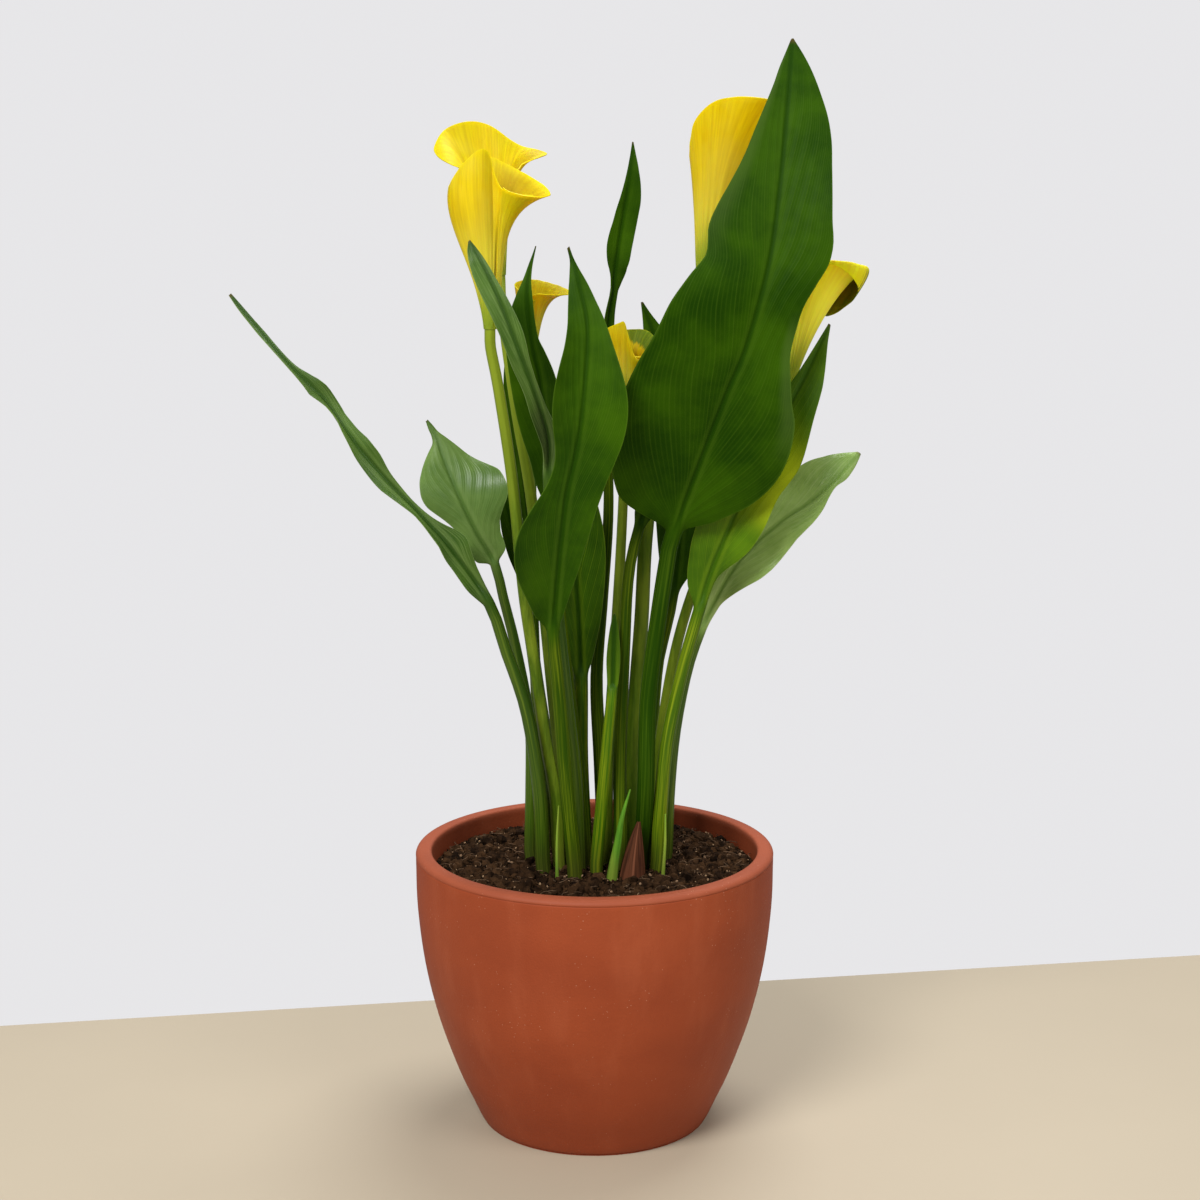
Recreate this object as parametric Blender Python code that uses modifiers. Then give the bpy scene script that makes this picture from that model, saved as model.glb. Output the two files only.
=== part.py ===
"""Potted calla lily: pot, soil, tuber, leaves and blooms.

Units are metres, +Z is up. The origin is the centre of the pot's flat underside.
The shapes are drawn in millimetres and turned into metres as each mesh is made.
"""
import math

import bmesh
import bpy
from mathutils import Vector, noise

MM = 0.001

POT_HEIGHT = 143.6
POT_RADIUS = 92.5
POT_WALL = 8.4
POT_FLOOR = 9.0
POT_STEPS = 36

SOIL_TOP = 134.5
SOIL_GAP = 0.4
FIT_GAP = 0.35

TUBER_CENTRE = (2.0, 2.0, 86.0)
TUBER_SIZE = (47.0, 39.0, 17.0)
SOCKET_DEPTH = 3.0

LEAF_THICK = 0.9
SPATHE_THICK = 1.0
SPADIX_RADIUS = 2.8
SHEATH_THICK = 0.8
WRAP_LIFT = 1.0
OVERLAP = 18.0

PARTS = "potted_calla_lily"
CUTTERS = "cutters"

# Turned pot: from the middle of the inner floor, up the inside, over the lip, down the outside.
POT_PROFILE = [
    (0.0, POT_FLOOR), (50.0, POT_FLOOR), (58.0, 12.5), (64.5, 28.7), (74.0, 57.4), (80.4, 86.2),
    (83.4, 115.0), (POT_RADIUS - POT_WALL, 134.0), (84.8, 140.0), (86.4, 142.8), (88.4, POT_HEIGHT),
    (90.5, 142.7), (92.0, 140.0), (POT_RADIUS, 134.0), (92.0, 115.0), (88.7, 86.2), (82.2, 57.4),
    (72.4, 28.7), (64.8, 11.5), (60.6, 2.4), (58.8, 0.6), (56.6, 0.0), (0.0, 0.0),
]

# Turned soil: from the middle of its top, outward, then down inside the pot wall.
SOIL_PROFILE = [
    (0.0, SOIL_TOP), (12.0, SOIL_TOP), (24.0, SOIL_TOP), (36.0, SOIL_TOP), (48.0, SOIL_TOP),
    (60.0, SOIL_TOP), (72.0, SOIL_TOP), (84.0 - SOIL_GAP, SOIL_TOP - 1.0), (83.4 - SOIL_GAP, 115.0),
    (80.4 - SOIL_GAP, 86.2), (74.0 - SOIL_GAP, 57.4), (64.5 - SOIL_GAP, 28.7), (57.7, 13.0),
    (49.8, POT_FLOOR + SOIL_GAP), (0.0, POT_FLOOR + SOIL_GAP),
]

COLOURS = {
    "pot_clay": ((0.36, 0.085, 0.040), 0.62),
    "soil": ((0.035, 0.022, 0.014), 0.95),
    "tuber": ((0.16, 0.085, 0.04), 0.85),
    "leaf_dark": ((0.030, 0.105, 0.012), 0.42),
    "leaf_light": ((0.060, 0.165, 0.040), 0.40),
    "scape_green": ((0.155, 0.260, 0.035), 0.48),
    "spathe_yellow": ((0.86, 0.62, 0.018), 0.45),
    "spadix_orange": ((0.80, 0.38, 0.02), 0.70),
    "shoot_green": ((0.120, 0.330, 0.030), 0.45),
    "sheath_brown": ((0.135, 0.055, 0.030), 0.80),
}

# Leaves. stand: where the stalk crosses the soil; path: the midrib from just above the soil to
# the tip; join: which path point the blade starts at; wide: (share of blade, left, right).
LEAVES = {
    "leaf_tall": {
        "mat": "leaf_dark", "stand": (24, -4), "stalk": (4.5, 4.1), "cols": 7, "join": 4,
        "path": [(26, -18, 180), (27, -22, 227), (31, -27, 264), (36, -33, 301), (39, -36, 315),
                 (53, -48, 356), (63, -55, 384), (71, -58, 404), (78, -60, 429), (83, -58, 451),
                 (87, -52, 480), (91, -40, 517), (94, -26, 550)],
        "wide": [(0, 4, 4), (0.03, 25, 12), (0.07, 36, 24), (0.13, 43, 34), (0.2, 46, 38), (0.29, 46, 32),
                 (0.38, 44, 23), (0.48, 38, 17), (0.58, 34, 22), (0.68, 27, 26), (0.78, 17, 24),
                 (0.87, 10, 18), (0.94, 6, 11), (1, 1, 1)],
        "rows": [0, 0.03, 0.07, 0.13, 0.2, 0.29, 0.38, 0.48, 0.58, 0.68, 0.78, 0.87, 0.94, 1],
        "turn": [(0, 0), (1, 4)], "cup": [(0, 14), (0.4, 16), (1, 8)], "curl": -14,
        "lobe": 9, "wave": (1.6, 2.5, 0.4),
    },
    "leaf_middle": {
        "mat": "leaf_dark", "stand": (-10, -24), "stalk": (3.8, 3.2), "cols": 7, "join": 3,
        "path": [(-14, -30, 183), (-17, -36, 226), (-19, -42, 252), (-20, -46, 266), (-18, -54, 293),
                 (-16, -60, 313), (-13, -66, 337), (-8, -70, 360), (-5, -72, 382), (-3, -70, 415),
                 (-7, -66, 436), (-12, -62, 453)],
        "wide": [(0, 3, 3), (0.1, 17, 7), (0.2, 23, 12), (0.35, 17, 17), (0.5, 14, 22), (0.65, 14, 21),
                 (0.8, 9, 12), (0.9, 6, 5), (1, 1, 1)],
        "rows": [0, 0.05, 0.11, 0.18, 0.27, 0.36, 0.46, 0.56, 0.66, 0.76, 0.86, 0.94, 1],
        "turn": [(0, 0), (1, 6)], "cup": [(0, 16), (0.5, 12), (1, 20)], "curl": 18,
        "lobe": 4, "wave": (1.5, 2.0, 0.0),
    },
    "leaf_folded": {
        "mat": "leaf_light", "stand": (-8, -13), "stalk": (3.8, 2.8), "cols": 5, "join": 4,
        "path": [(-10, -14, 184), (-14, -22, 227), (-18, -30, 270), (-21, -38, 311), (-22, -44, 342),
                 (-22, -54, 362), (-25, -66, 380), (-31, -74, 402), (-41, -75, 426), (-49, -72, 442),
                 (-58, -66, 456)],
        "wide": [(0, 3, 3), (0.15, 6, 6), (0.35, 8, 7), (0.55, 11, 10), (0.75, 10, 9), (0.9, 6, 5),
                 (1, 1, 1)],
        "rows": [0, 0.08, 0.17, 0.27, 0.37, 0.47, 0.57, 0.67, 0.77, 0.86, 0.94, 1],
        "turn": [(0, 20), (0.5, 30), (1, 26)], "cup": [(0, 40), (0.4, 58), (1, 50)], "curl": 10,
        "lobe": 0, "wave": (0.8, 2.0, 0.0),
    },
    "leaf_slim": {
        "mat": "leaf_dark", "stand": (-5, -3), "stalk": (3.8, 2.8), "cols": 5, "join": 3,
        "path": [(-9, 0, 190), (-15, -8, 245), (-20, -16, 298), (-21, -20, 322), (-22, -24, 344),
                 (-24, -30, 367), (-26, -36, 389), (-30, -38, 408), (-32, -38, 428), (-31, -36, 442),
                 (-28, -34, 453)],
        "wide": [(0, 3, 3), (0.15, 8, 7), (0.3, 11, 9), (0.5, 14, 10), (0.65, 12, 8), (0.8, 8, 5),
                 (0.9, 3, 2.5), (1, 1, 1)],
        "rows": [0, 0.08, 0.18, 0.28, 0.4, 0.52, 0.64, 0.75, 0.85, 0.93, 1],
        "turn": [(0, 0), (1, -14)], "cup": [(0, 26), (1, 22)], "curl": 8, "lobe": 0,
        "wave": (0.8, 2.0, 0.0),
    },
    "leaf_narrow": {
        "mat": "leaf_dark", "stand": (-29, 20), "stalk": (3.5, 2.4), "cols": 5, "join": 3,
        "path": [(-29, 20, 185), (-31, 16, 240), (-32, 12, 288), (-33, 10, 310), (-35, 8, 330),
                 (-38, 3, 358), (-41, -1, 380), (-44, -4, 407)],
        "wide": [(0, 3, 3), (0.25, 6, 6), (0.5, 7, 7), (0.8, 4, 4), (1, 1, 1)],
        "rows": [0, 0.12, 0.25, 0.4, 0.55, 0.7, 0.86, 1],
        "turn": [(0, 10), (1, 20)], "cup": [(0, 20), (1, 14)], "curl": 0, "lobe": 0,
        "wave": (0.5, 1.5, 0.0),
    },
    "leaf_high": {
        "mat": "leaf_dark", "stand": (5, 13), "stalk": (3.9, 2.4), "cols": 5, "join": 4,
        "path": [(3, 13, 187), (1, 13, 230), (4, 15, 272), (7, 17, 313), (7, 18, 350), (7, 18, 390),
                 (7, 18, 413), (9, 16, 430), (13, 14, 458), (17, 10, 482), (19, 8, 503)],
        "wide": [(0, 2.3, 2.3), (0.2, 3.4, 3.4), (0.4, 3.2, 3.2), (0.52, 2.4, 2.4), (0.62, 6, 5),
                 (0.72, 8, 8), (0.82, 6, 8), (0.91, 3, 5), (1, 1, 1)],
        "rows": [0, 0.12, 0.24, 0.38, 0.5, 0.57, 0.64, 0.73, 0.82, 0.91, 1],
        "turn": [(0, 0), (0.4, 30), (0.6, 0), (1, -20)], "cup": [(0, 18), (1, 20)], "curl": 0,
        "lobe": 0, "wave": (0.5, 2.0, 0.0),
    },
    "leaf_long": {
        "mat": "leaf_dark", "stand": (-26, -14), "stalk": (3.9, 2.8), "cols": 5, "join": 3,
        "path": [(-28, -19, 180), (-34, -24, 222), (-44, -28, 254), (-52, -30, 278), (-69, -33, 304),
                 (-85, -36, 323), (-102, -38, 342), (-118, -40, 362), (-131, -40, 381), (-146, -40, 396),
                 (-161, -38, 413), (-175, -36, 430)],
        "wide": [(0, 3, 3), (0.08, 8, 8), (0.2, 12, 12), (0.35, 11, 10), (0.5, 9, 9), (0.65, 7, 7),
                 (0.8, 5, 5), (0.92, 3, 3), (1, 1, 1)],
        "rows": [0, 0.06, 0.14, 0.23, 0.32, 0.41, 0.5, 0.59, 0.68, 0.77, 0.86, 0.94, 1],
        "turn": [(0, 10), (0.2, 35), (0.45, 66), (0.7, 50), (1, 55)], "cup": [(0, 20), (1, 16)],
        "curl": 10, "lobe": 0, "wave": (1.4, 2.5, 0.6),
    },
    "leaf_round": {
        "mat": "leaf_light", "stand": (-33, 6), "stalk": (3.2, 2.4), "cols": 7, "join": 5,
        "path": [(-33, 5, 173), (-33, 3, 206), (-36, 0, 228), (-41, -4, 255), (-46, -8, 277),
                 (-50, -12, 295), (-59, -16, 312), (-67, -16, 329), (-74, -12, 345), (-79, -8, 358),
                 (-84, -4, 366)],
        "wide": [(0, 2.5, 2.5), (0.1, 9, 10), (0.2, 11, 14), (0.35, 11, 18), (0.5, 13, 24),
                 (0.65, 17, 22), (0.8, 13, 10), (0.92, 6, 3), (1, 1, 1)],
        "rows": [0, 0.06, 0.14, 0.23, 0.33, 0.43, 0.53, 0.63, 0.73, 0.83, 0.92, 1],
        "turn": [(0, 8), (1, 18)], "cup": [(0, 20), (1, 6)], "curl": -16, "lobe": 0,
        "wave": (1.8, 2.0, 0.2),
    },
    "leaf_backleft": {
        "mat": "leaf_dark", "stand": (-20, 30), "stalk": (3.6, 2.4), "cols": 5, "join": 3,
        "path": [(-24, 28, 184), (-30, 27, 228), (-34, 27, 260), (-37, 27, 280), (-40, 27, 298),
                 (-44, 26, 316), (-47, 24, 332)],
        "wide": [(0, 2.5, 2.5), (0.3, 6, 6), (0.6, 6, 6), (1, 1, 1)],
        "rows": [0, 0.2, 0.4, 0.6, 0.8, 1],
        "turn": [(0, 0), (1, 0)], "cup": [(0, 20), (1, 10)], "curl": 0, "lobe": 0,
        "wave": (0.3, 1.5, 0.0),
    },
    "leaf_right": {
        "mat": "leaf_dark", "stand": (32, -10), "stalk": (3.9, 3), "cols": 7, "join": 4,
        "path": [(34, -15, 174), (37, -18, 206), (43, -20, 237), (48, -22, 258), (52, -24, 273),
                 (58, -26, 294), (68, -30, 320), (80, -32, 347), (93, -30, 372), (104, -26, 393),
                 (115, -20, 415)],
        "wide": [(0, 3, 3), (0.1, 12, 8), (0.2, 16, 13), (0.35, 16, 17), (0.5, 14, 19), (0.65, 11, 17),
                 (0.8, 6, 10), (0.9, 4, 5), (1, 1, 1)],
        "rows": [0, 0.06, 0.14, 0.23, 0.33, 0.43, 0.53, 0.63, 0.73, 0.83, 0.92, 1],
        "turn": [(0, -5), (1, -12)], "cup": [(0, 18), (1, 14)], "curl": -10, "lobe": 0,
        "wave": (1.2, 2.0, 0.5),
    },
    "leaf_lowright": {
        "mat": "leaf_light", "stand": (37, 3), "stalk": (3, 2.3), "cols": 7, "join": 3,
        "path": [(39, 3, 174), (42, 3, 206), (48, 2, 238), (55, 0, 260), (60, -2, 272), (69, -6, 290),
                 (79, -8, 303), (93, -10, 316), (109, -10, 327), (122, -8, 339), (133, -4, 350)],
        "wide": [(0, 2.5, 2.5), (0.12, 8, 7), (0.3, 11, 11), (0.5, 12, 13), (0.7, 15, 13), (0.85, 13, 9),
                 (0.94, 7, 5), (1, 1, 1)],
        "rows": [0, 0.06, 0.14, 0.23, 0.33, 0.43, 0.53, 0.63, 0.73, 0.83, 0.92, 1],
        "turn": [(0, -14), (1, -34)], "cup": [(0, 18), (1, 10)], "curl": 0, "lobe": 0,
        "wave": (1.8, 2.5, 0.3),
    },
    "leaf_back": {
        "mat": "leaf_dark", "stand": (26, 28), "stalk": (3.5, 2.6), "cols": 5, "join": 3,
        "path": [(29, 29, 180), (33, 29, 232), (37, 28, 252), (41, 27, 272), (44, 25, 307),
                 (44, 23, 338), (40, 23, 374), (32, 22, 402), (24, 20, 424)],
        "wide": [(0, 3, 3), (0.1, 9, 8), (0.25, 13, 12), (0.5, 16, 14), (0.75, 12, 12), (0.9, 6, 6),
                 (1, 1, 1)],
        "rows": [0, 0.08, 0.18, 0.3, 0.42, 0.54, 0.66, 0.78, 0.9, 1],
        "turn": [(0, 0), (1, 10)], "cup": [(0, 16), (1, 10)], "curl": 0, "lobe": 0,
        "wave": (1.0, 2.0, 0.0),
    },
    "leaf_hidden": {
        "mat": "leaf_dark", "stand": (13, -11), "stalk": (3.6, 2.6), "cols": 5, "join": 3,
        "path": [(13, -12, 193), (15, -17, 251), (17, -22, 290), (22, -25, 315), (32, -27, 345),
                 (44, -28, 378), (54, -28, 405)],
        "wide": [(0, 3, 3), (0.2, 7, 7), (0.5, 10, 10), (0.8, 7, 7), (0.92, 4, 4), (1, 1, 1)],
        "rows": [0, 0.1, 0.22, 0.35, 0.48, 0.61, 0.74, 0.87, 1],
        "turn": [(0, 0), (1, 0)], "cup": [(0, 20), (1, 14)], "curl": 0, "lobe": 0,
        "wave": (0.6, 2.0, 0.0),
    },
    "leaf_bright": {
        "mat": "shoot_green", "stand": (-5, 10), "stalk": (3.9, 3.6), "cols": 5, "join": 2,
        "path": [(-7, 9, 187), (-7, 5, 218), (-7, 2, 234), (-8, 0, 264), (-10, -3, 296),
                 (-11, -6, 327), (-11, -8, 350)],
        "wide": [(0, 4, 4), (0.3, 7, 7), (0.6, 7, 7), (1, 1, 1)],
        "rows": [0, 0.14, 0.3, 0.46, 0.62, 0.8, 1],
        "turn": [(0, 0), (1, 0)], "cup": [(0, 24), (1, 20)], "curl": 0, "lobe": 0,
        "wave": (0.3, 1.0, 0.0),
    },
    "leaf_young": {
        "mat": "leaf_light", "stand": (1, -16), "stalk": (3.4, 2.6), "cols": 5, "join": 2,
        "path": [(4, -20, 176), (7, -24, 212), (9, -25, 234), (9.5, -25, 250), (10, -24, 272)],
        "wide": [(0, 2.6, 2.6), (0.4, 3.6, 3.6), (0.8, 2.2, 2.2), (1, 1, 1)],
        "rows": [0, 0.25, 0.5, 0.75, 1],
        "turn": [(0, 0), (1, 0)], "cup": [(0, 20), (1, 16)], "curl": 0, "lobe": 0,
        "wave": (0.0, 1.0, 0.0),
    },
}

# Blooms. path: the flower stalk from above the soil to the foot of the spathe; seam: the side, in
# degrees from +X, where the margins overlap; rim: (side, then radius and height of the point the
# profile bends towards, then radius and height of the rim), measured from the foot; margin: the
# share of the profile each free margin keeps at the overlap, and over how many degrees.
BLOOMS = {
    "bloom_front": {
        "stand": (-18, -7), "stalk": (3.4, 2.7), "axis": (0.02, 0.0, 1), "seam": 284, "spadix": 34,
        "path": [(-20, -10, 173), (-25, -15, 206), (-31, -22, 253), (-35, -28, 285), (-40, -33, 340),
                 (-46, -38, 384), (-49, -42, 413), (-47, -45, 436)],
        "margin": (0.50, 0.86, 70, 40),
        "rim": [(0, 10, 60, 28, 46), (35, 12, 52, 20, 54), (90, 9, 44, 12, 63), (135, 14, 40, 17, 60),
                (180, 20, 38, 23, 47), (213, 22, 34, 20, 60), (245, 20, 38, 13, 69), (266, 17, 42, 11, 68),
                (285, 13, 44, 12, 60), (312, 9, 46, 19, 44), (338, 8, 52, 27, 37)],
    },
    "bloom_back": {
        "stand": (-14, 2), "stalk": (3.4, 2.6), "axis": (-0.04, 0.06, 1), "seam": 290, "spadix": 36,
        "path": [(-16, 1, 174), (-21, 0, 222), (-26, -6, 276), (-32, -12, 332), (-38, -13, 368),
                 (-42, -10, 402), (-44, -3, 424), (-44, 4, 442)],
        "margin": (0.75, 0.85, 60, 40),
        "rim": [(0, 8, 46, 15, 54), (25, 7, 66, 28, 59), (50, 9, 54, 19, 64), (90, 10, 56, 14, 73),
                (130, 18, 56, 19, 77), (160, 21, 66, 26, 73), (185, 18, 70, 30, 62), (215, 16, 54, 24, 54),
                (260, 9, 38, 13, 50), (300, 8, 36, 12, 48), (330, 8, 40, 13, 50)],
    },
    "bloom_left": {
        "stand": (-11, 24), "stalk": (3.3, 2.5), "axis": (0.08, -0.03, 1), "seam": 262, "spadix": 22,
        "path": [(-11, 23, 184), (-14, 20, 239), (-20, 16, 293), (-26, 12, 345), (-30, 9, 375),
                 (-29, 8, 398)],
        "margin": (0.8, 0.85, 50, 40),
        "rim": [(0, 7, 50, 28, 38), (45, 8, 46, 21, 42), (90, 9, 36, 13, 42), (150, 8, 30, 10, 42),
                (200, 7, 28, 9, 39), (250, 6, 26, 9, 34), (290, 7, 30, 13, 32), (330, 7, 44, 22, 34)],
    },
    "bloom_centre": {
        "stand": (6, -1), "stalk": (3.3, 2.3), "axis": (0.0, -0.03, 1), "seam": 288, "spadix": 16,
        "path": [(7, -2, 191), (10, -5, 244), (13, -8, 296), (15, -10, 342), (16, -10, 382)],
        "margin": (0.62, 0.9, 50, 30),
        "rim": [(0, 8, 30, 16, 31), (45, 8, 26, 15, 36), (90, 8, 26, 11, 38), (150, 8, 24, 10, 38),
                (200, 9, 24, 9, 39), (245, 8, 24, 8, 42), (270, 7, 24, 7, 41), (295, 6, 26, 9, 36),
                (330, 7, 30, 14, 30)],
    },
    "bloom_upper": {
        "stand": (18, 10), "stalk": (4.4, 3), "axis": (0.06, -0.02, 1), "seam": 290, "spadix": 38,
        "path": [(19, 9, 183), (21, 8, 220), (24, 8, 263), (26, 8, 304), (31, 6, 350), (38, 4, 391),
                 (47, 2, 426), (52, 0, 442)],
        "margin": (0.62, 0.8, 80, 50),
        "rim": [(0, 12, 74, 42, 64), (25, 14, 74, 40, 79), (50, 16, 68, 32, 89), (75, 12, 62, 21, 86),
                (100, 9, 54, 13, 78), (140, 8, 46, 10, 68), (180, 8, 40, 9, 58), (225, 7, 34, 9, 50),
                (270, 7, 30, 9, 46), (305, 8, 34, 14, 48), (335, 9, 52, 28, 54)],
    },
    "bloom_right": {
        "stand": (31, 15), "stalk": (3.2, 2.3), "axis": (0.16, -0.03, 1), "seam": 180, "spadix": 24,
        "path": [(33, 14, 182), (36, 14, 211), (42, 14, 246), (50, 14, 275), (60, 12, 301), (74, 8, 335),
                 (85, 3, 362), (94, -2, 384)],
        "margin": (0.85, 0.85, 40, 40),
        "rim": [(0, 40, 90, 25, 53), (30, 32, 84, 26, 59), (60, 20, 70, 24, 64), (90, 12, 58, 17, 60),
                (120, 8, 48, 11, 53), (155, 6, 40, 7, 47), (205, 6, 40, 7, 47), (240, 8, 48, 11, 53),
                (270, 12, 58, 17, 60), (300, 20, 70, 24, 64), (330, 32, 84, 26, 59)],
    },
}

# Young shoots that have only just broken the soil, each in a short blind hole.
SHOOTS = {
    "shoot_green": {"mat": "shoot_green", "radius": 3.2,
                    "path": [(9, -23, 116), (9, -23.5, 134), (12, -26, 155), (14, -28, 168), (18, -30, 183)]},
    "shoot_left": {"mat": "shoot_green", "radius": 1.2,
                   "path": [(-19, -26, 120), (-19, -26, 134), (-19, -27, 155), (-18, -28, 174)]},
    "shoot_right": {"mat": "shoot_green", "radius": 1.3,
                    "path": [(35, -20, 120), (35, -20, 134), (36, -21, 152), (36, -22, 168)]},
}

SHEATH = {"stand": (19, -22), "foot": 122.0, "top": 160.0, "wide": 5.5}


def lerp_table(table, x):
    """Value of a (x, y, ...) table at x, straight between its rows."""
    if x <= table[0][0]:
        return table[0][1:]
    for low, high in zip(table, table[1:]):
        if x <= high[0]:
            k = (x - low[0]) / (high[0] - low[0])
            return tuple(a + (b - a) * k for a, b in zip(low[1:], high[1:]))
    return table[-1][1:]


def smooth(x):
    x = max(0.0, min(1.0, x))
    return x * x * (3.0 - 2.0 * x)


def spline_point(points, u):
    """Catmull-Rom point at u, where whole numbers are the given points."""
    last = len(points) - 1
    i = max(0, min(last - 1, int(u)))
    t = u - i
    p1, p2 = points[i], points[i + 1]
    p0 = points[i - 1] if i > 0 else p1 + (p1 - p2)
    p3 = points[i + 2] if i + 2 <= last else p2 + (p2 - p1)
    return 0.5 * (2 * p1 + (p2 - p0) * t + (2 * p0 - 5 * p1 + 4 * p2 - p3) * t * t
                  + (3 * p1 - 3 * p2 + p3 - p0) * t ** 3)


def spline_length(points, start, end, steps=160):
    """Cumulative length along the spline from start to end, as (length, u) rows."""
    rows, total = [(0.0, start)], 0.0
    before = spline_point(points, start)
    for k in range(1, steps + 1):
        u = start + (end - start) * k / steps
        here = spline_point(points, u)
        total += (here - before).length
        rows.append((total, u))
        before = here
    return rows


def at_share(rows, share):
    """Spline parameter at a share of the measured length."""
    return lerp_table(rows, share * rows[-1][0])[0]


def tuber_top(x, y):
    dx, dy = (x - TUBER_CENTRE[0]) / TUBER_SIZE[0], (y - TUBER_CENTRE[1]) / TUBER_SIZE[1]
    return TUBER_CENTRE[2] + TUBER_SIZE[2] * math.sqrt(max(0.0, 1.0 - dx * dx - dy * dy))


def stalk_foot(stand):
    """Foot of a stalk: a socket a little way into the tuber, drawn in under the plant."""
    x, y = stand[0] * 0.86, stand[1] * 0.86
    return Vector((x, y, tuber_top(x, y) - SOCKET_DEPTH))


def stalk_top(stand):
    """End of the stalk's straight part, clear of the soil."""
    foot = stalk_foot(stand)
    here = Vector((stand[0], stand[1], SOIL_TOP + 1.0))
    return here + (here - foot).normalized() * 6.0


def frame(points, u, turn):
    """Place, side and face direction of a cross-section at u."""
    last = len(points) - 1
    here = spline_point(points, u)
    ahead = spline_point(points, min(last, u + 0.05)) - spline_point(points, max(0.0, u - 0.05))
    ahead.normalize()
    a = math.radians(turn)
    side = Vector((math.cos(a), math.sin(a), 0.0))
    side = (side - ahead * side.dot(ahead)).normalized()
    return here, side, side.cross(ahead).normalized()


def sheet_mesh(name, top, low, mirror=True):
    """One closed body between two grids of points, split alike on both faces."""
    rows, cols = len(top), len(top[0])
    verts = [p for row in top for p in row] + [p for row in low for p in row]
    half = rows * cols
    faces = []
    for i in range(rows - 1):
        for j in range(cols - 1):
            a, b = i * cols + j, i * cols + j + 1
            c, d = b + cols, a + cols
            pair = [(a, b, c), (a, c, d)] if j < cols // 2 or not mirror else [(a, b, d), (b, c, d)]
            for tri in pair:
                faces.append(tri)
                faces.append(tuple(v + half for v in reversed(tri)))
    for i in range(rows - 1):
        for j in (0, cols - 1):
            a, d = i * cols + j, (i + 1) * cols + j
            faces.append((a, d, d + half, a + half))
    for i in (0, rows - 1):
        for j in range(cols - 1):
            a, b = i * cols + j, i * cols + j + 1
            faces.append((a, b, b + half, a + half))
    mesh = bpy.data.meshes.new(name)
    mesh.from_pydata([tuple(c * MM for c in v) for v in verts], [], faces)
    return tidy_mesh(mesh)


def shell(name, points, thick, slot, home):
    """An open surface through rows of points, given its thickness by a Solidify modifier."""
    rows, cols = len(points), len(points[0])
    faces = []
    for i in range(rows - 1):
        for j in range(cols - 1):
            a, b = i * cols + j, i * cols + j + 1
            faces += [(a, b, b + cols), (a, b + cols, a + cols)]
    mesh = bpy.data.meshes.new(name)
    mesh.from_pydata([tuple(c * MM for c in v) for row in points for v in row], [], faces)
    mesh.shade_smooth()
    thing = add_mesh(name, mesh, slot, home)
    skin = thing.modifiers.new("skin", "SOLIDIFY")
    skin.thickness = thick * MM
    skin.offset = 0.0
    skin.use_rim = True
    return thing


def stalk_curve(name, points, radii, sides, slot, home):
    """A round stalk: a curve with a bevel, thinning from one radius to the other."""
    curve = bpy.data.curves.new(name, "CURVE")
    curve.dimensions = "3D"
    curve.bevel_depth = MM
    curve.bevel_resolution = (sides - 4) // 2
    curve.use_fill_caps = True
    line = curve.splines.new("POLY")
    line.points.add(len(points) - 1)
    total = sum((b - a).length for a, b in zip(points, points[1:]))
    run = 0.0
    for k, point in enumerate(points):
        if k:
            run += (point - points[k - 1]).length
        line.points[k].co = (*(point * MM), 1.0)
        line.points[k].radius = radii[0] + (radii[1] - radii[0]) * run / total
    return place(bpy.data.objects.new(name, curve), slot, home)


def tidy_mesh(mesh):
    bm = bmesh.new()
    bm.from_mesh(mesh)
    bmesh.ops.triangulate(bm, faces=[f for f in bm.faces if len(f.verts) > 3])
    bmesh.ops.recalc_face_normals(bm, faces=bm.faces)
    bm.to_mesh(mesh)
    bm.free()
    return mesh


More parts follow.
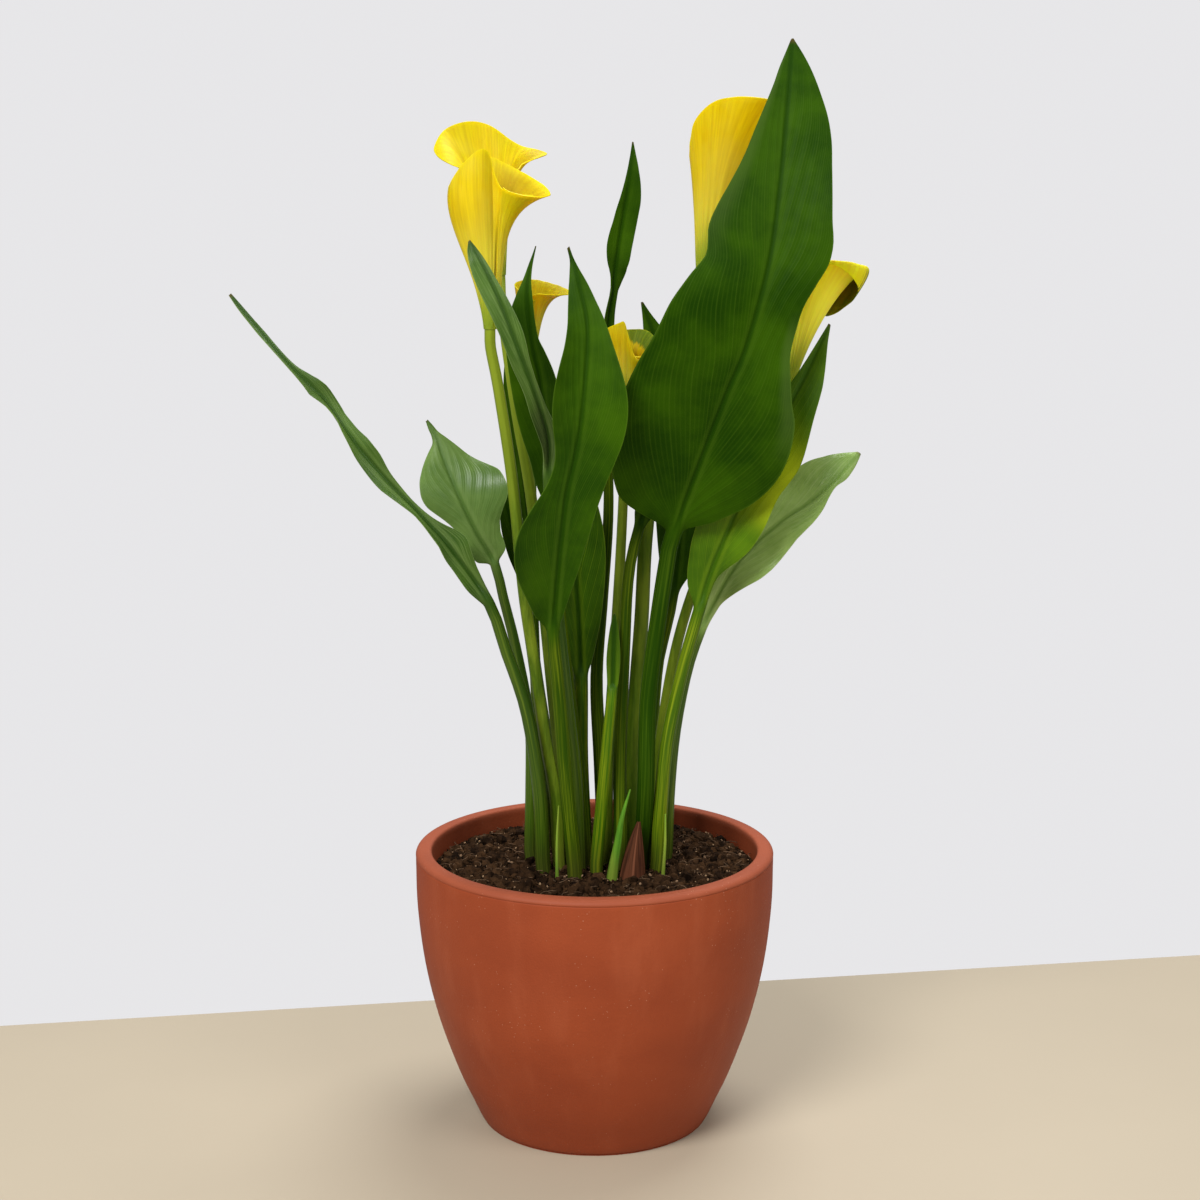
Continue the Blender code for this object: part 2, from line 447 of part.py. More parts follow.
def leaf_grids(leaf):
    """Upper and lower points of a stalk that widens into a blade."""
    points = [stalk_top(leaf["stand"])] + [Vector(p) for p in leaf["path"]]
    join, last, cols = leaf["join"] + 1, len(points) - 1, leaf["cols"]
    stalk_rows = spline_length(points, 0, join)
    blade_rows = spline_length(points, join, last)
    blade_long = blade_rows[-1][0]
    stations = []
    count = max(3, round(stalk_rows[-1][0] / 38.0))
    for k in range(count):
        stations.append((at_share(stalk_rows, k / count), k / count - 1.0))
    for share in leaf["rows"]:
        stations.append((at_share(blade_rows, share), share))
    top, low = [], []
    foot = stalk_foot(leaf["stand"])
    first = True
    for u, share in stations:
        turn = lerp_table(leaf["turn"], max(0.0, share))[0]
        here, side, face = frame(points, u, turn)
        ahead = face.cross(side).normalized()
        if ahead.z < 0:
            ahead = -ahead
        if first:
            ahead = (points[0] - foot).normalized()
            side = (side - ahead * side.dot(ahead)).normalized()
            face = side.cross(ahead).normalized()
        radius = leaf["stalk"][0] + (leaf["stalk"][1] - leaf["stalk"][0]) * min(1.0, share + 1.0)
        left, right = lerp_table(leaf["wide"], max(0.0, share))
        cup = lerp_table(leaf["cup"], max(0.0, share))[0] * min(1.0, 0.15 + (1.0 - share) / 0.1)
        blend = smooth((share + 0.02) / 0.10)
        back = leaf["lobe"] * max(0.0, 1.0 - share / 0.3) * blend
        size, beats, phase = leaf["wave"]
        rib = radius * max(0.0, 1.0 - share) ** 1.3
        row_top, row_low = [], []
        for j in range(cols):
            q = 2.0 * j / (cols - 1) - 1.0
            out, sign = abs(q), (-1.0 if q < 0 else 1.0)
            half = left if q < 0 else right
            slope = math.radians(cup + leaf["curl"] * out)
            mean = math.radians(cup + leaf["curl"] * out * 0.5)
            x = sign * half * out * math.cos(mean)
            y = half * out * math.sin(mean)
            y += size * out * out * math.sin(2 * math.pi * (beats * share + phase + 0.15 * sign))
            nx, ny = -sign * math.sin(slope) if out else 0.0, math.cos(slope) if out else 1.0
            up, down = LEAF_THICK / 2, LEAF_THICK / 2
            if out == 0.0:
                up, down = 0.15, 0.35 + rib * 0.8
            flat_top = (x + nx * up, y + ny * up)
            flat_low = (x - nx * down, y - ny * down)
            a = q * math.pi / 2 * 0.88
            round_top = (radius * math.sin(a), radius * math.cos(a))
            round_low = (radius * math.sin(a), -radius * math.cos(a))
            slide = ahead * (-back * out * out)
            for rounded, flat, row in ((round_top, flat_top, row_top), (round_low, flat_low, row_low)):
                sx = rounded[0] + (flat[0] - rounded[0]) * blend
                sy = rounded[1] + (flat[1] - rounded[1]) * blend
                row.append(here + side * sx + face * sy + slide)
        if first:
            drop = foot - points[0]
            top.append([p + drop for p in row_top])
            low.append([p + drop for p in row_low])
            first = False
        top.append(row_top)
        low.append(row_low)
    return top, low


def round_table(table, side):
    """Smooth value of a table that runs once round, at a side in degrees."""
    side %= 360.0
    count = len(table)
    for k in range(count):
        x1 = table[k][0]
        x2 = table[(k + 1) % count][0] + (360.0 if k == count - 1 else 0.0)
        if x1 <= side <= x2 or (k == count - 1 and side + 360.0 <= x2):
            here = side if side >= x1 else side + 360.0
            x0 = table[k - 1][0] - (360.0 if k == 0 else 0.0)
            x3 = table[(k + 2) % count][0] + (360.0 if k >= count - 2 else 0.0)
            t, wide = (here - x1) / (x2 - x1), x2 - x1
            values = []
            for c in range(1, len(table[0])):
                p0, p1 = table[k - 1][c], table[k][c]
                p2, p3 = table[(k + 1) % count][c], table[(k + 2) % count][c]
                m1, m2 = (p2 - p0) / (x2 - x0) * wide, (p3 - p1) / (x3 - x1) * wide
                values.append((2 * t ** 3 - 3 * t * t + 1) * p1 + (t ** 3 - 2 * t * t + t) * m1
                              + (3 * t * t - 2 * t ** 3) * p2 + (t ** 3 - t * t) * m2)
            return values
    return list(table[0][1:])


def spathe_points(bloom, cols, rows):
    """Rows of points on the wrapped sheet that flares into a trumpet, from its foot to its rim."""
    foot = Vector(bloom["path"][-1])
    axis = Vector(bloom["axis"]).normalized()
    east = Vector((1, 0, 0))
    east = (east - axis * east.dot(axis)).normalized()
    north = axis.cross(east).normalized()
    start = bloom["stalk"][1] + FIT_GAP + SPATHE_THICK / 2 + 0.85
    middle = [[] for _ in range(rows + 1)]
    for j in range(cols):
        turn = OVERLAP * -1.0 + (360.0 + 2 * OVERLAP) * j / (cols - 1)
        side = bloom["seam"] + turn
        r2, h2, r3, h3 = round_table(bloom["rim"], side)
        low, high, low_fade, high_fade = bloom["margin"]
        reach = low + (1.0 - low) * smooth((turn + OVERLAP) / low_fade)
        reach *= high + (1.0 - high) * smooth((360.0 + OVERLAP - turn) / high_fade)
        a = math.radians(side)
        out = east * math.cos(a) + north * math.sin(a)
        lift = WRAP_LIFT * (turn - 180.0) / 180.0
        for i in range(rows + 1):
            t = reach * i / rows
            k = 1.0 - t
            r = k ** 3 * start + 3 * k * k * t * (start + 1.6) + 3 * k * t * t * r2 + t ** 3 * r3
            h = 3 * k * k * t * h2 * 0.6 + 3 * k * t * t * h2 + t ** 3 * h3
            dr = 3 * k * k * 1.6 + 6 * k * t * (r2 - start - 1.6) + 3 * t * t * (r3 - r2)
            dh = 3 * k * k * h2 * 0.6 + 6 * k * t * h2 * 0.4 + 3 * t * t * (h3 - h2)
            long = math.hypot(dr, dh)
            normal = (out * dh - axis * dr) / long
            middle[i].append(foot + out * r + axis * (h - 4.0) + normal * lift)
    return middle


def turned(name, profile, steps):
    """A profile spun round Z with a Screw modifier; the object keeps the modifier."""
    mesh = bpy.data.meshes.new(name)
    mesh.from_pydata([(x * MM, 0.0, z * MM) for x, z in profile], [(i, i + 1) for i in range(len(profile) - 1)], [])
    thing = bpy.data.objects.new(name, mesh)
    spin = thing.modifiers.new("spin", "SCREW")
    spin.axis = "Z"
    spin.angle = 2 * math.pi
    spin.screw_offset = 0.0
    spin.steps = steps
    spin.render_steps = steps
    spin.use_merge_vertices = True
    spin.merge_threshold = 0.00005
    spin.use_normal_calculate = False
    spin.use_smooth_shade = False
    return thing


def spadix_profile(long, radius):
    """Blunt rod: from the middle of its top, down the outside, to the middle of its foot."""
    return [(0.0, long), (radius * 0.6, long * 0.975), (radius * 0.92, long * 0.88), (radius, long * 0.6),
            (radius * 0.95, long * 0.25), (radius * 0.78, 0.0), (0.0, 0.0)]


def sheath_points():
    """A curled papery scale standing in the soil."""
    x, y = SHEATH["stand"]
    points = []
    for i in range(6):
        share = i / 5
        z = SHEATH["foot"] + (SHEATH["top"] - SHEATH["foot"]) * share
        wide = SHEATH["wide"] * (1.0 - 0.75 * share ** 1.6)
        row = []
        for j in range(7):
            a = math.radians(-90.0 + 234.0 * (j / 6 - 0.5))
            row.append(Vector((x - 3.0 * share * share + wide * math.cos(a), y + wide * math.sin(a), z)))
        points.append(row)
    return points


def material(slot):
    found = bpy.data.materials.get(slot)
    if found:
        return found
    colour, rough = COLOURS[slot]
    made = bpy.data.materials.new(slot)
    made.use_nodes = True
    shader = made.node_tree.nodes["Principled BSDF"]
    shader.inputs["Base Color"].default_value = (*colour, 1.0)
    shader.inputs["Roughness"].default_value = rough
    shader.inputs["Metallic"].default_value = 0.0
    made.diffuse_color = (*colour, 1.0)
    return made


def place(thing, slot, home):
    home.objects.link(thing)
    thing.data.materials.clear()
    thing.data.materials.append(material(slot))
    return thing


def add_mesh(name, mesh, slot, home):
    return place(bpy.data.objects.new(name, mesh), slot, home)


def baked(thing):
    """The object's mesh with its modifiers applied."""
    graph = bpy.context.evaluated_depsgraph_get()
    graph.update()
    mesh = bpy.data.meshes.new_from_object(thing.evaluated_get(graph))
    bm = bmesh.new()
    bm.from_mesh(mesh)
    bmesh.ops.remove_doubles(bm, verts=bm.verts, dist=0.00001)
    bmesh.ops.triangulate(bm, faces=[f for f in bm.faces if len(f.verts) > 4])
    bmesh.ops.recalc_face_normals(bm, faces=bm.faces)
    bm.to_mesh(mesh)
    bm.free()
    return mesh


def rod_cutter(name, foot, top, radius, home):
    """A round cutter from just under a stalk's foot to above the soil."""
    ahead = (top - foot).normalized()
    low, high = foot - ahead * FIT_GAP, top + ahead * 14.0
    big = (radius + FIT_GAP) / math.cos(math.pi / 8)
    mesh = bpy.data.meshes.new(name)
    bm = bmesh.new()
    bmesh.ops.create_cone(bm, cap_ends=True, segments=8, radius1=big * MM, radius2=big * MM,
                          depth=(high - low).length * MM)
    bm.to_mesh(mesh)
    bm.free()
    cutter = bpy.data.objects.new(name, mesh)
    cutter.rotation_mode = "QUATERNION"
    cutter.rotation_quaternion = ahead.to_track_quat("Z", "Y")
    cutter.location = (low + high) / 2 * MM
    cutter.hide_render = True
    cutter.display_type = "WIRE"
    home.objects.link(cutter)
    return cutter


def lump_mesh(name, grow):
    """The knobbly tuber, or the hollow round it when grown."""
    mesh = bpy.data.meshes.new(name)
    bm = bmesh.new()
    bmesh.ops.create_uvsphere(bm, u_segments=16, v_segments=8, radius=1.0)
    for v in bm.verts:
        way = v.co.normalized()
        knob = 1.0 + 0.05 * noise.noise(way * 2.3 + Vector((3.1, 0.0, 7.7)))
        v.co = Vector([TUBER_CENTRE[k] + way[k] * (TUBER_SIZE[k] * knob + grow) for k in range(3)]) * MM
    bmesh.ops.triangulate(bm, faces=bm.faces)
    bmesh.ops.recalc_face_normals(bm, faces=bm.faces)
    bm.to_mesh(mesh)
    bm.free()
    return mesh


def cut(thing, cutters, home):
    """Take every cutter out of a mesh, one after another."""
    home.objects.link(thing)
    for cutter in cutters:
        step = thing.modifiers.new("cut", "BOOLEAN")
        step.operation = "DIFFERENCE"
        step.solver = "EXACT"
        step.object = cutter
    mesh = baked(thing)
    bpy.data.objects.remove(thing)
    return mesh


def build():
    for thing in list(bpy.data.objects):
        bpy.data.objects.remove(thing)
    home = bpy.data.collections.new(PARTS)
    spare = bpy.data.collections.new(CUTTERS)
    bpy.context.scene.collection.children.link(home)
    bpy.context.scene.collection.children.link(spare)

    place(turned("pot", POT_PROFILE, POT_STEPS), "pot_clay", home)

    for name, leaf in LEAVES.items():
        add_mesh(name, sheet_mesh(name, *leaf_grids(leaf)), leaf["mat"], home)

    for name, bloom in BLOOMS.items():
        top, axis = Vector(bloom["path"][-1]), Vector(bloom["axis"]).normalized()
        guide = [stalk_top(bloom["stand"])] + [Vector(p) for p in bloom["path"][:-1]] + [top - axis * 7.0]
        rows = spline_length(guide, 0, len(guide) - 1)
        steps = max(7, round(rows[-1][0] / 34.0))
        points = [stalk_foot(bloom["stand"])]
        points += [spline_point(guide, at_share(rows, k / steps)) for k in range(steps + 1)] + [top]
        stalk_curve(name + "_scape", points, bloom["stalk"], 8, "scape_green", home)
        shell(name + "_spathe", spathe_points(bloom, 23, 6), SPATHE_THICK, "spathe_yellow", home)
        spadix = turned(name + "_spadix", spadix_profile(bloom["spadix"], SPADIX_RADIUS), 8)
        spadix.location = (top + axis * FIT_GAP) * MM
        spadix.rotation_mode = "QUATERNION"
        spadix.rotation_quaternion = axis.to_track_quat("Z", "Y")
        place(spadix, "spadix_orange", home)

    for name, shoot in SHOOTS.items():
        points = [Vector(p) for p in shoot["path"]]
        stalk_curve(name, points, (shoot["radius"], 0.5), 8, shoot["mat"], home)
    shell("dry_sheath", sheath_points(), SHEATH_THICK, "sheath_brown", home)

    rods = []
    for name, entry in list(LEAVES.items()) + list(BLOOMS.items()):
        rods.append(rod_cutter("cut_" + name, stalk_foot(entry["stand"]), stalk_top(entry["stand"]),
                               entry["stalk"][0], spare))
    pits = []
    for name, shoot in SHOOTS.items():
        low, high = Vector(shoot["path"][0]), Vector(shoot["path"][1])
        pits.append(rod_cutter("cut_" + name, low, high, shoot["radius"], spare))
    x, y = SHEATH["stand"]
    pits.append(rod_cutter("cut_sheath", Vector((x, y, SHEATH["foot"])), Vector((x, y, SOIL_TOP)),
                           SHEATH["wide"] + 0.6, spare))

    tuber = cut(bpy.data.objects.new("tuber", lump_mesh("tuber", 0.0)), rods, home)
    add_mesh("tuber", tuber, "tuber", home)

    hollow = bpy.data.objects.new("cut_hollow", lump_mesh("cut_hollow", FIT_GAP + 0.1))
    hollow.hide_render = True
    hollow.display_type = "WIRE"
    spare.objects.link(hollow)
    spun = turned("soil_spun", SOIL_PROFILE, POT_STEPS)
    home.objects.link(spun)
    ground = baked(spun)
    bpy.data.objects.remove(spun)
    for v in ground.vertices:
        x, y, z = v.co / MM
        away = math.hypot(x, y)
        if z > SOIL_TOP - 2.0 and away < 80.0:
            spot = Vector((x * 0.06, y * 0.06, 0.0))
            rough = 1.5 * noise.noise(spot) + 0.9 * noise.noise(spot * 2.7 + Vector((5.0, 0.0, 0.0)))
            v.co.z += (rough + 1.6 * smooth((x + y) / 110.0)) * MM
    soil = cut(bpy.data.objects.new("soil", ground), [hollow] + rods + pits, home)
    add_mesh("soil", soil, "soil", home)


build()
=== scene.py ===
import math

import bmesh
import bpy
import numpy as np
from mathutils import Matrix, Vector, noise


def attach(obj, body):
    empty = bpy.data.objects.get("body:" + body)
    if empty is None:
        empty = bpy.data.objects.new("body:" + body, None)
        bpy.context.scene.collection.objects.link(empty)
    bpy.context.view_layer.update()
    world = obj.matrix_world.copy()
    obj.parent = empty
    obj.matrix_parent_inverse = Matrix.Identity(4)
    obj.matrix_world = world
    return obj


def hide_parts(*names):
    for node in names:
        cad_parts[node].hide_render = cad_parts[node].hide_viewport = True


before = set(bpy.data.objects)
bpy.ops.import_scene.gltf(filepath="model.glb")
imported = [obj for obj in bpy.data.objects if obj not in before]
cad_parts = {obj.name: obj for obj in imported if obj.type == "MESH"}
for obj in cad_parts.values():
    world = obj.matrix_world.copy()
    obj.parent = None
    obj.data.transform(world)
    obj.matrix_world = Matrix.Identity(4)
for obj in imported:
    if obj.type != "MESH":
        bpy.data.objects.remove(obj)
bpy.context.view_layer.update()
mm = 0.001
print("frame loaded")


# Node trees, written as Python expressions.

def findSocket(sockets, key):
    if isinstance(key, int):
        return sockets[key]
    named = [s for s in sockets if s.name == key]
    return next((s for s in named if s.enabled), named[0])


class Wire:  # one output socket, with Python's operators
    def __init__(self, board, socket):
        self.board, self.socket = board, socket

    def math(self, kind, *others):
        return self.board.node("ShaderNodeMath", {"operation": kind}, dict(enumerate((self, *others))))

    def other(self, name):
        return Wire(self.board, findSocket(self.socket.node.outputs, name))

    def __add__(self, value):
        return self.math("ADD", value)

    def __sub__(self, value):
        return self.math("SUBTRACT", value)

    def __rsub__(self, value):
        return self.board.node("ShaderNodeMath", {"operation": "SUBTRACT"}, {0: value, 1: self})

    def __mul__(self, value):
        return self.math("MULTIPLY", value)

    def __truediv__(self, value):
        return self.math("DIVIDE", value)

    def __rtruediv__(self, value):
        return self.board.node("ShaderNodeMath", {"operation": "DIVIDE"}, {0: value, 1: self})

    def __pow__(self, value):
        return self.math("POWER", value)

    __radd__ = __add__
    __rmul__ = __mul__


class Board:  # a node tree that is filled node by node
    def __init__(self, tree):
        self.tree = tree

    def node(self, kind, settings=None, inputs=None, out=0):
        made = self.tree.nodes.new(kind)
        for key, value in (settings or {}).items():
            setattr(made, key, value)
        for key, value in (inputs or {}).items():
            socket = findSocket(made.inputs, key)
            if isinstance(value, Wire):
                self.tree.links.new(value.socket, socket)
            elif socket.type == "RGBA" and len(value) == 3:
                socket.default_value = (*value, 1.0)
            else:
                socket.default_value = value
        return Wire(self, findSocket(made.outputs, out)) if made.outputs else made

    def spot(self, x, y, z=0.0):
        return self.node("ShaderNodeCombineXYZ", {}, {0: x, 1: y, 2: z})

    def part(self, spot, axis):
        return self.node("ShaderNodeSeparateXYZ", {}, {0: spot}, out=axis)

    def vector(self, kind, first, second):
        key = "Scale" if kind == "SCALE" else 1
        return self.node("ShaderNodeVectorMath", {"operation": kind}, {0: first, key: second})

    def fromAxis(self, spot):  # distance from the upright axis
        x = self.part(spot, "X")
        return (x * x + x.other("Y") * x.other("Y")).math("SQRT")


class Finish(Board):  # a material
    def __init__(self, name, fixed):
        self.mat = bpy.data.materials.new(name)
        self.mat.use_nodes = True
        super().__init__(self.mat.node_tree)
        self.shader = self.tree.nodes["Principled BSDF"]
        for key, value in fixed.items():
            self.shader.inputs[key].default_value = value

    def read(self, name):
        return self.node("ShaderNodeAttribute", {"attribute_name": name}, out="Fac")

    def place(self, stretch=(1.0, 1.0, 1.0)):
        return self.vector("MULTIPLY", self.node("ShaderNodeTexCoord", out="Object"), stretch)

    def level(self):
        return self.part(self.place(), "Z")

    def noise(self, at, scale, detail=3.0, rough=0.55):
        return self.node("ShaderNodeTexNoise", {},
                         {"Vector": at, "Scale": scale, "Detail": detail, "Roughness": rough})

    def step(self, value, low, high):
        return self.node("ShaderNodeMapRange", {"interpolation_type": "SMOOTHSTEP"},
                         {"Value": value, "From Min": low, "From Max": high})

    def lines(self, value, count, wide):
        ridge = ((value * count).math("FRACT") - 0.5).math("ABSOLUTE") * 2.0
        return self.step(ridge, 1.0 - wide, 1.0)

    def tint(self, factor, first, second):
        return self.node("ShaderNodeMix", {"data_type": "RGBA"}, {"Factor": factor, "A": first, "B": second},
                         out="Result")

    def paint(self, colour, *coats):  # a coat is how much of it shows, and its colour
        for much, coat in coats:
            colour = self.tint(much, colour, coat)
        return colour

    def done(self, colour, rough, height=None, strength=0.4, far=0.0004):
        self.tree.links.new(colour.socket, self.shader.inputs["Base Color"])
        self.tree.links.new(rough.socket, self.shader.inputs["Roughness"])
        if height is not None:
            bump = self.node("ShaderNodeBump", {}, {"Height": height, "Strength": strength, "Distance": far})
            self.tree.links.new(bump.socket, self.shader.inputs["Normal"])
        return self.mat


class Maker(Board):  # a geometry tree with named inputs
    def __init__(self, name, sizes):
        tree = bpy.data.node_groups.new(name, "GeometryNodeTree")
        super().__init__(tree)
        self.sizes = sizes
        add = tree.interface.new_socket
        add("Geometry", in_out="INPUT", socket_type="NodeSocketGeometry")
        add("Geometry", in_out="OUTPUT", socket_type="NodeSocketGeometry")
        for key, value in sizes.items():
            kind = "NodeSocketInt" if isinstance(value, int) else "NodeSocketFloat"
            add(key, in_out="INPUT", socket_type=kind).default_value = value
        add("Material", in_out="INPUT", socket_type="NodeSocketMaterial")
        self.start, self.end = tree.nodes.new("NodeGroupInput"), tree.nodes.new("NodeGroupOutput")

    def take(self, name):
        return Wire(self, findSocket(self.start.outputs, name))

    def chance(self, low, high, seed):
        kind = "FLOAT_VECTOR" if isinstance(low, tuple) else "FLOAT"
        return self.node("FunctionNodeRandomValue", {"data_type": kind}, {"Min": low, "Max": high, "Seed": seed},
                         out="Value")

    def moved(self, geometry, by, key="Offset"):
        return self.node("GeometryNodeSetPosition", {}, {0: geometry, key: by})

    def ring(self, sides, radius):
        return self.node("GeometryNodeCurvePrimitiveCircle", {}, {"Resolution": sides, "Radius": radius})

    def swept(self, curve, section, more):
        return self.node("GeometryNodeCurveToMesh", {}, {"Curve": curve, "Profile Curve": section, **more})

    def ball(self, radius):
        return self.node("GeometryNodeMeshIcoSphere", {}, {"Radius": radius, "Subdivisions": 1})

    def real(self, geometry):
        return self.node("GeometryNodeRealizeInstances", {}, {0: geometry})

    def close(self, geometry, smooth=True):
        shaded = self.node("GeometryNodeSetShadeSmooth", {}, {0: self.real(geometry), "Shade Smooth": smooth})
        last = self.node("GeometryNodeSetMaterial", {}, {0: shaded, "Material": self.take("Material")})
        self.tree.links.new(last.socket, self.end.inputs[0])
        return self

    def run(self, host, name, mat, changes=None):
        live = host.modifiers.new(name, "NODES")
        live.node_group = self.tree
        values = {**self.sizes, **(changes or {}), "Material": mat}
        for item in self.tree.interface.items_tree:
            if item.in_out == "INPUT" and item.name in values:
                live[item.identifier] = values[item.name]
        graph = bpy.context.evaluated_depsgraph_get()
        graph.update()
        mesh = bpy.data.meshes.new_from_object(host.evaluated_get(graph))
        host.modifiers.remove(live)
        bpy.data.objects.remove(host)
        mesh.name = name
        return mesh


# Camera, floor and light.

camera = {"place": (2.8, -1094.0, 473.9), "pitch": 10.33, "lens": 65.55, "sensor": 36.0, "clip": (0.01, 30.0)}
stage = {
    "floor": [(-1600, -1900), (1600, -1900), (1600, 441.8), (-1600, -90.6)],
    "floorColour": (0.435, 0.370, 0.272), "floorRough": 0.6, "floorCloud": 6.0, "floorLift": 1.06,
    "sky": (0.80, 0.795, 0.81), "fill": 0.39,
    "lamps": [
        {"name": "keyLamp", "place": (-640, -1200, 1400), "aim": (0, 0, 260), "size": 800, "power": 30.5},
        {"name": "sideLamp", "place": (850, -950, 1150), "aim": (60, 0, 330), "size": 900, "power": 8.0},
        {"name": "topLamp", "place": (260, 450, 1450), "aim": (40, 0, 250), "size": 900, "power": 15.0},
    ],
}


def link(name, data):
    thing = bpy.data.objects.new(name, data)
    bpy.context.scene.collection.objects.link(thing)
    return thing


def makeStage():
    view = bpy.data.cameras.new("camera")
    view.lens, view.sensor_width = camera["lens"], camera["sensor"]
    view.clip_start, view.clip_end = camera["clip"]
    eye = link("camera", view)
    eye.location = Vector(camera["place"]) * mm
    eye.rotation_euler = (math.radians(90.0 - camera["pitch"]), 0.0, 0.0)
    bpy.context.scene.camera = eye
    bpy.context.scene.view_settings.view_transform = "Standard"

    mesh = bpy.data.meshes.new("floor")
    mesh.from_pydata([(x * mm, y * mm, 0) for x, y in stage["floor"]], [], [(0, 1, 2, 3)])
    floor = link("floor", mesh)
    f = Finish("floorFinish", {})
    cloud = f.noise(f.place(), stage["floorCloud"])
    pale = tuple(c * stage["floorLift"] for c in stage["floorColour"])
    floor.data.materials.append(f.done(f.tint(cloud, stage["floorColour"], pale), cloud * 0.1 + stage["floorRough"]))

    world = bpy.data.worlds.new("studio")
    bpy.context.scene.world = world
    world.use_nodes = True
    b = Board(world.node_tree)
    seen, felt = (b.node("ShaderNodeBackground", {}, {"Color": stage["sky"], "Strength": power})
                  for power in (1.0, stage["fill"]))
    direct = b.node("ShaderNodeLightPath", out="Is Camera Ray")
    mixed = b.node("ShaderNodeMixShader", {}, {0: direct, 1: felt, 2: seen})
    world.node_tree.links.new(mixed.socket, world.node_tree.nodes["World Output"].inputs[0])

    for lamp in stage["lamps"]:
        data = bpy.data.lights.new(lamp["name"], "AREA")
        data.shape, data.size, data.energy = "DISK", lamp["size"] * mm, lamp["power"]
        thing = link(lamp["name"], data)
        thing.location = Vector(lamp["place"]) * mm
        thing.rotation_euler = (Vector(lamp["aim"]) - Vector(lamp["place"])).to_track_quat("-Z", "Y").to_euler()


makeStage()
print("stage ready")


# Shapes that the pieces share. All sizes are in millimetres until a mesh is made.

build = {
    "soilTop": 134.5, "fitGap": 0.35, "tuberCentre": (2.0, 2.0, 86.0), "tuberSize": (47.0, 39.0, 17.0),
    "socket": 3.0, "footDraw": 0.86, "collar": 1.0, "straight": 6.0, "sharp": 50.0,
}


def tableAt(table, x):  # straight between rows
    if x <= table[0][0]:
        return table[0][1:]
    for low, high in zip(table, table[1:]):
        if x <= high[0]:
            k = (x - low[0]) / (high[0] - low[0])
            return tuple(a + (b - a) * k for a, b in zip(low[1:], high[1:]))
    return table[-1][1:]


def softTableAt(table, x):  # a smooth line through the rows
    last = len(table) - 1
    k = next((i for i in range(last) if x <= table[i + 1][0]), last - 1)
    x1, x2 = table[k][0], table[k + 1][0]
    t, wide = min(1.0, max(0.0, (x - x1) / (x2 - x1))), x2 - x1
    low, high = table[max(0, k - 1)], table[min(last, k + 2)]
    values = []
    for c in range(1, len(table[0])):
        p1, p2 = table[k][c], table[k + 1][c]
        m1 = (p2 - low[c]) / (x2 - low[0]) * wide
        m2 = (high[c] - p1) / (high[0] - x1) * wide
        values.append((2 * t ** 3 - 3 * t * t + 1) * p1 + (t ** 3 - 2 * t * t + t) * m1
                      + (3 * t * t - 2 * t ** 3) * p2 + (t ** 3 - t * t) * m2)
    return values


def ringTableAt(table, side):  # the same for a table that runs once round
    side %= 360.0
    ring = [(table[-1][0] - 360.0, *table[-1][1:])] + table
    ring += [(row[0] + 360.0, *row[1:]) for row in table[:2]]
    k = max(i for i in range(1, len(table) + 1) if ring[i][0] <= max(side, ring[1][0]))
    return softTableAt([ring[k - 1], ring[k], ring[k + 1], ring[min(k + 2, len(ring) - 1)]], side)


def smooth(x):
    x = np.clip(x, 0.0, 1.0)
    return x * x * (3.0 - 2.0 * x)


def splinePoint(points, u):
    last = len(points) - 1
    i = max(0, min(last - 1, int(u)))
    t = u - i
    p1, p2 = points[i], points[i + 1]
    p0 = points[i - 1] if i > 0 else p1 + (p1 - p2)
    p3 = points[i + 2] if i + 2 <= last else p2 + (p2 - p1)
    return 0.5 * (2 * p1 + (p2 - p0) * t + (2 * p0 - 5 * p1 + 4 * p2 - p3) * t * t
                  + (3 * p1 - 3 * p2 + p3 - p0) * t ** 3)


def splineLength(points, start, end, steps=240):
    rows, total, before = [(0.0, start)], 0.0, splinePoint(points, start)
    for k in range(1, steps + 1):
        u = start + (end - start) * k / steps
        here = splinePoint(points, u)
        total += (here - before).length
        rows.append((total, u))
        before = here
    return rows


def atShare(rows, share):
    return tableAt(rows, share * rows[-1][0])[0]


def evenPoints(points, count):  # evenly spaced along the spline
    rows = splineLength(points, 0, len(points) - 1)
    return [splinePoint(points, atShare(rows, k / count)) for k in range(count + 1)]


def stalkFoot(stand):
    x, y = (c * build["footDraw"] for c in stand)
    (cx, cy, cz), (sx, sy, sz) = build["tuberCentre"], build["tuberSize"]
    top = cz + sz * math.sqrt(max(0.0, 1.0 - ((x - cx) / sx) ** 2 - ((y - cy) / sy) ** 2))
    return Vector((x, y, top - build["socket"]))


def stalkTop(stand):
    here = Vector((stand[0], stand[1], build["soilTop"] + build["collar"]))
    return here + (here - stalkFoot(stand)).normalized() * build["straight"]


def squareTo(side, ahead):
    side = (side - ahead * side.dot(ahead)).normalized()
    return side, side.cross(ahead).normalized()


def crossFrame(points, u, turn):
    last = len(points) - 1
    ahead = (splinePoint(points, min(last, u + 0.05)) - splinePoint(points, max(0.0, u - 0.05))).normalized()
    side = Vector((math.cos(math.radians(turn)), math.sin(math.radians(turn)), 0.0))
    return splinePoint(points, u), *squareTo(side, ahead), ahead


def mend(mesh, gap=0.0, spare=None):
    # Joins points closer than the gap, then drops the spare faces or else turns all faces outwards.
    bm = bmesh.new()
    bm.from_mesh(mesh)
    if gap:
        bmesh.ops.remove_doubles(bm, verts=bm.verts, dist=gap)
    if spare:
        bmesh.ops.delete(bm, geom=[f for f in bm.faces if spare(f)], context="FACES")
    else:
        bmesh.ops.recalc_face_normals(bm, faces=bm.faces)
    bm.to_mesh(mesh)
    bm.free()


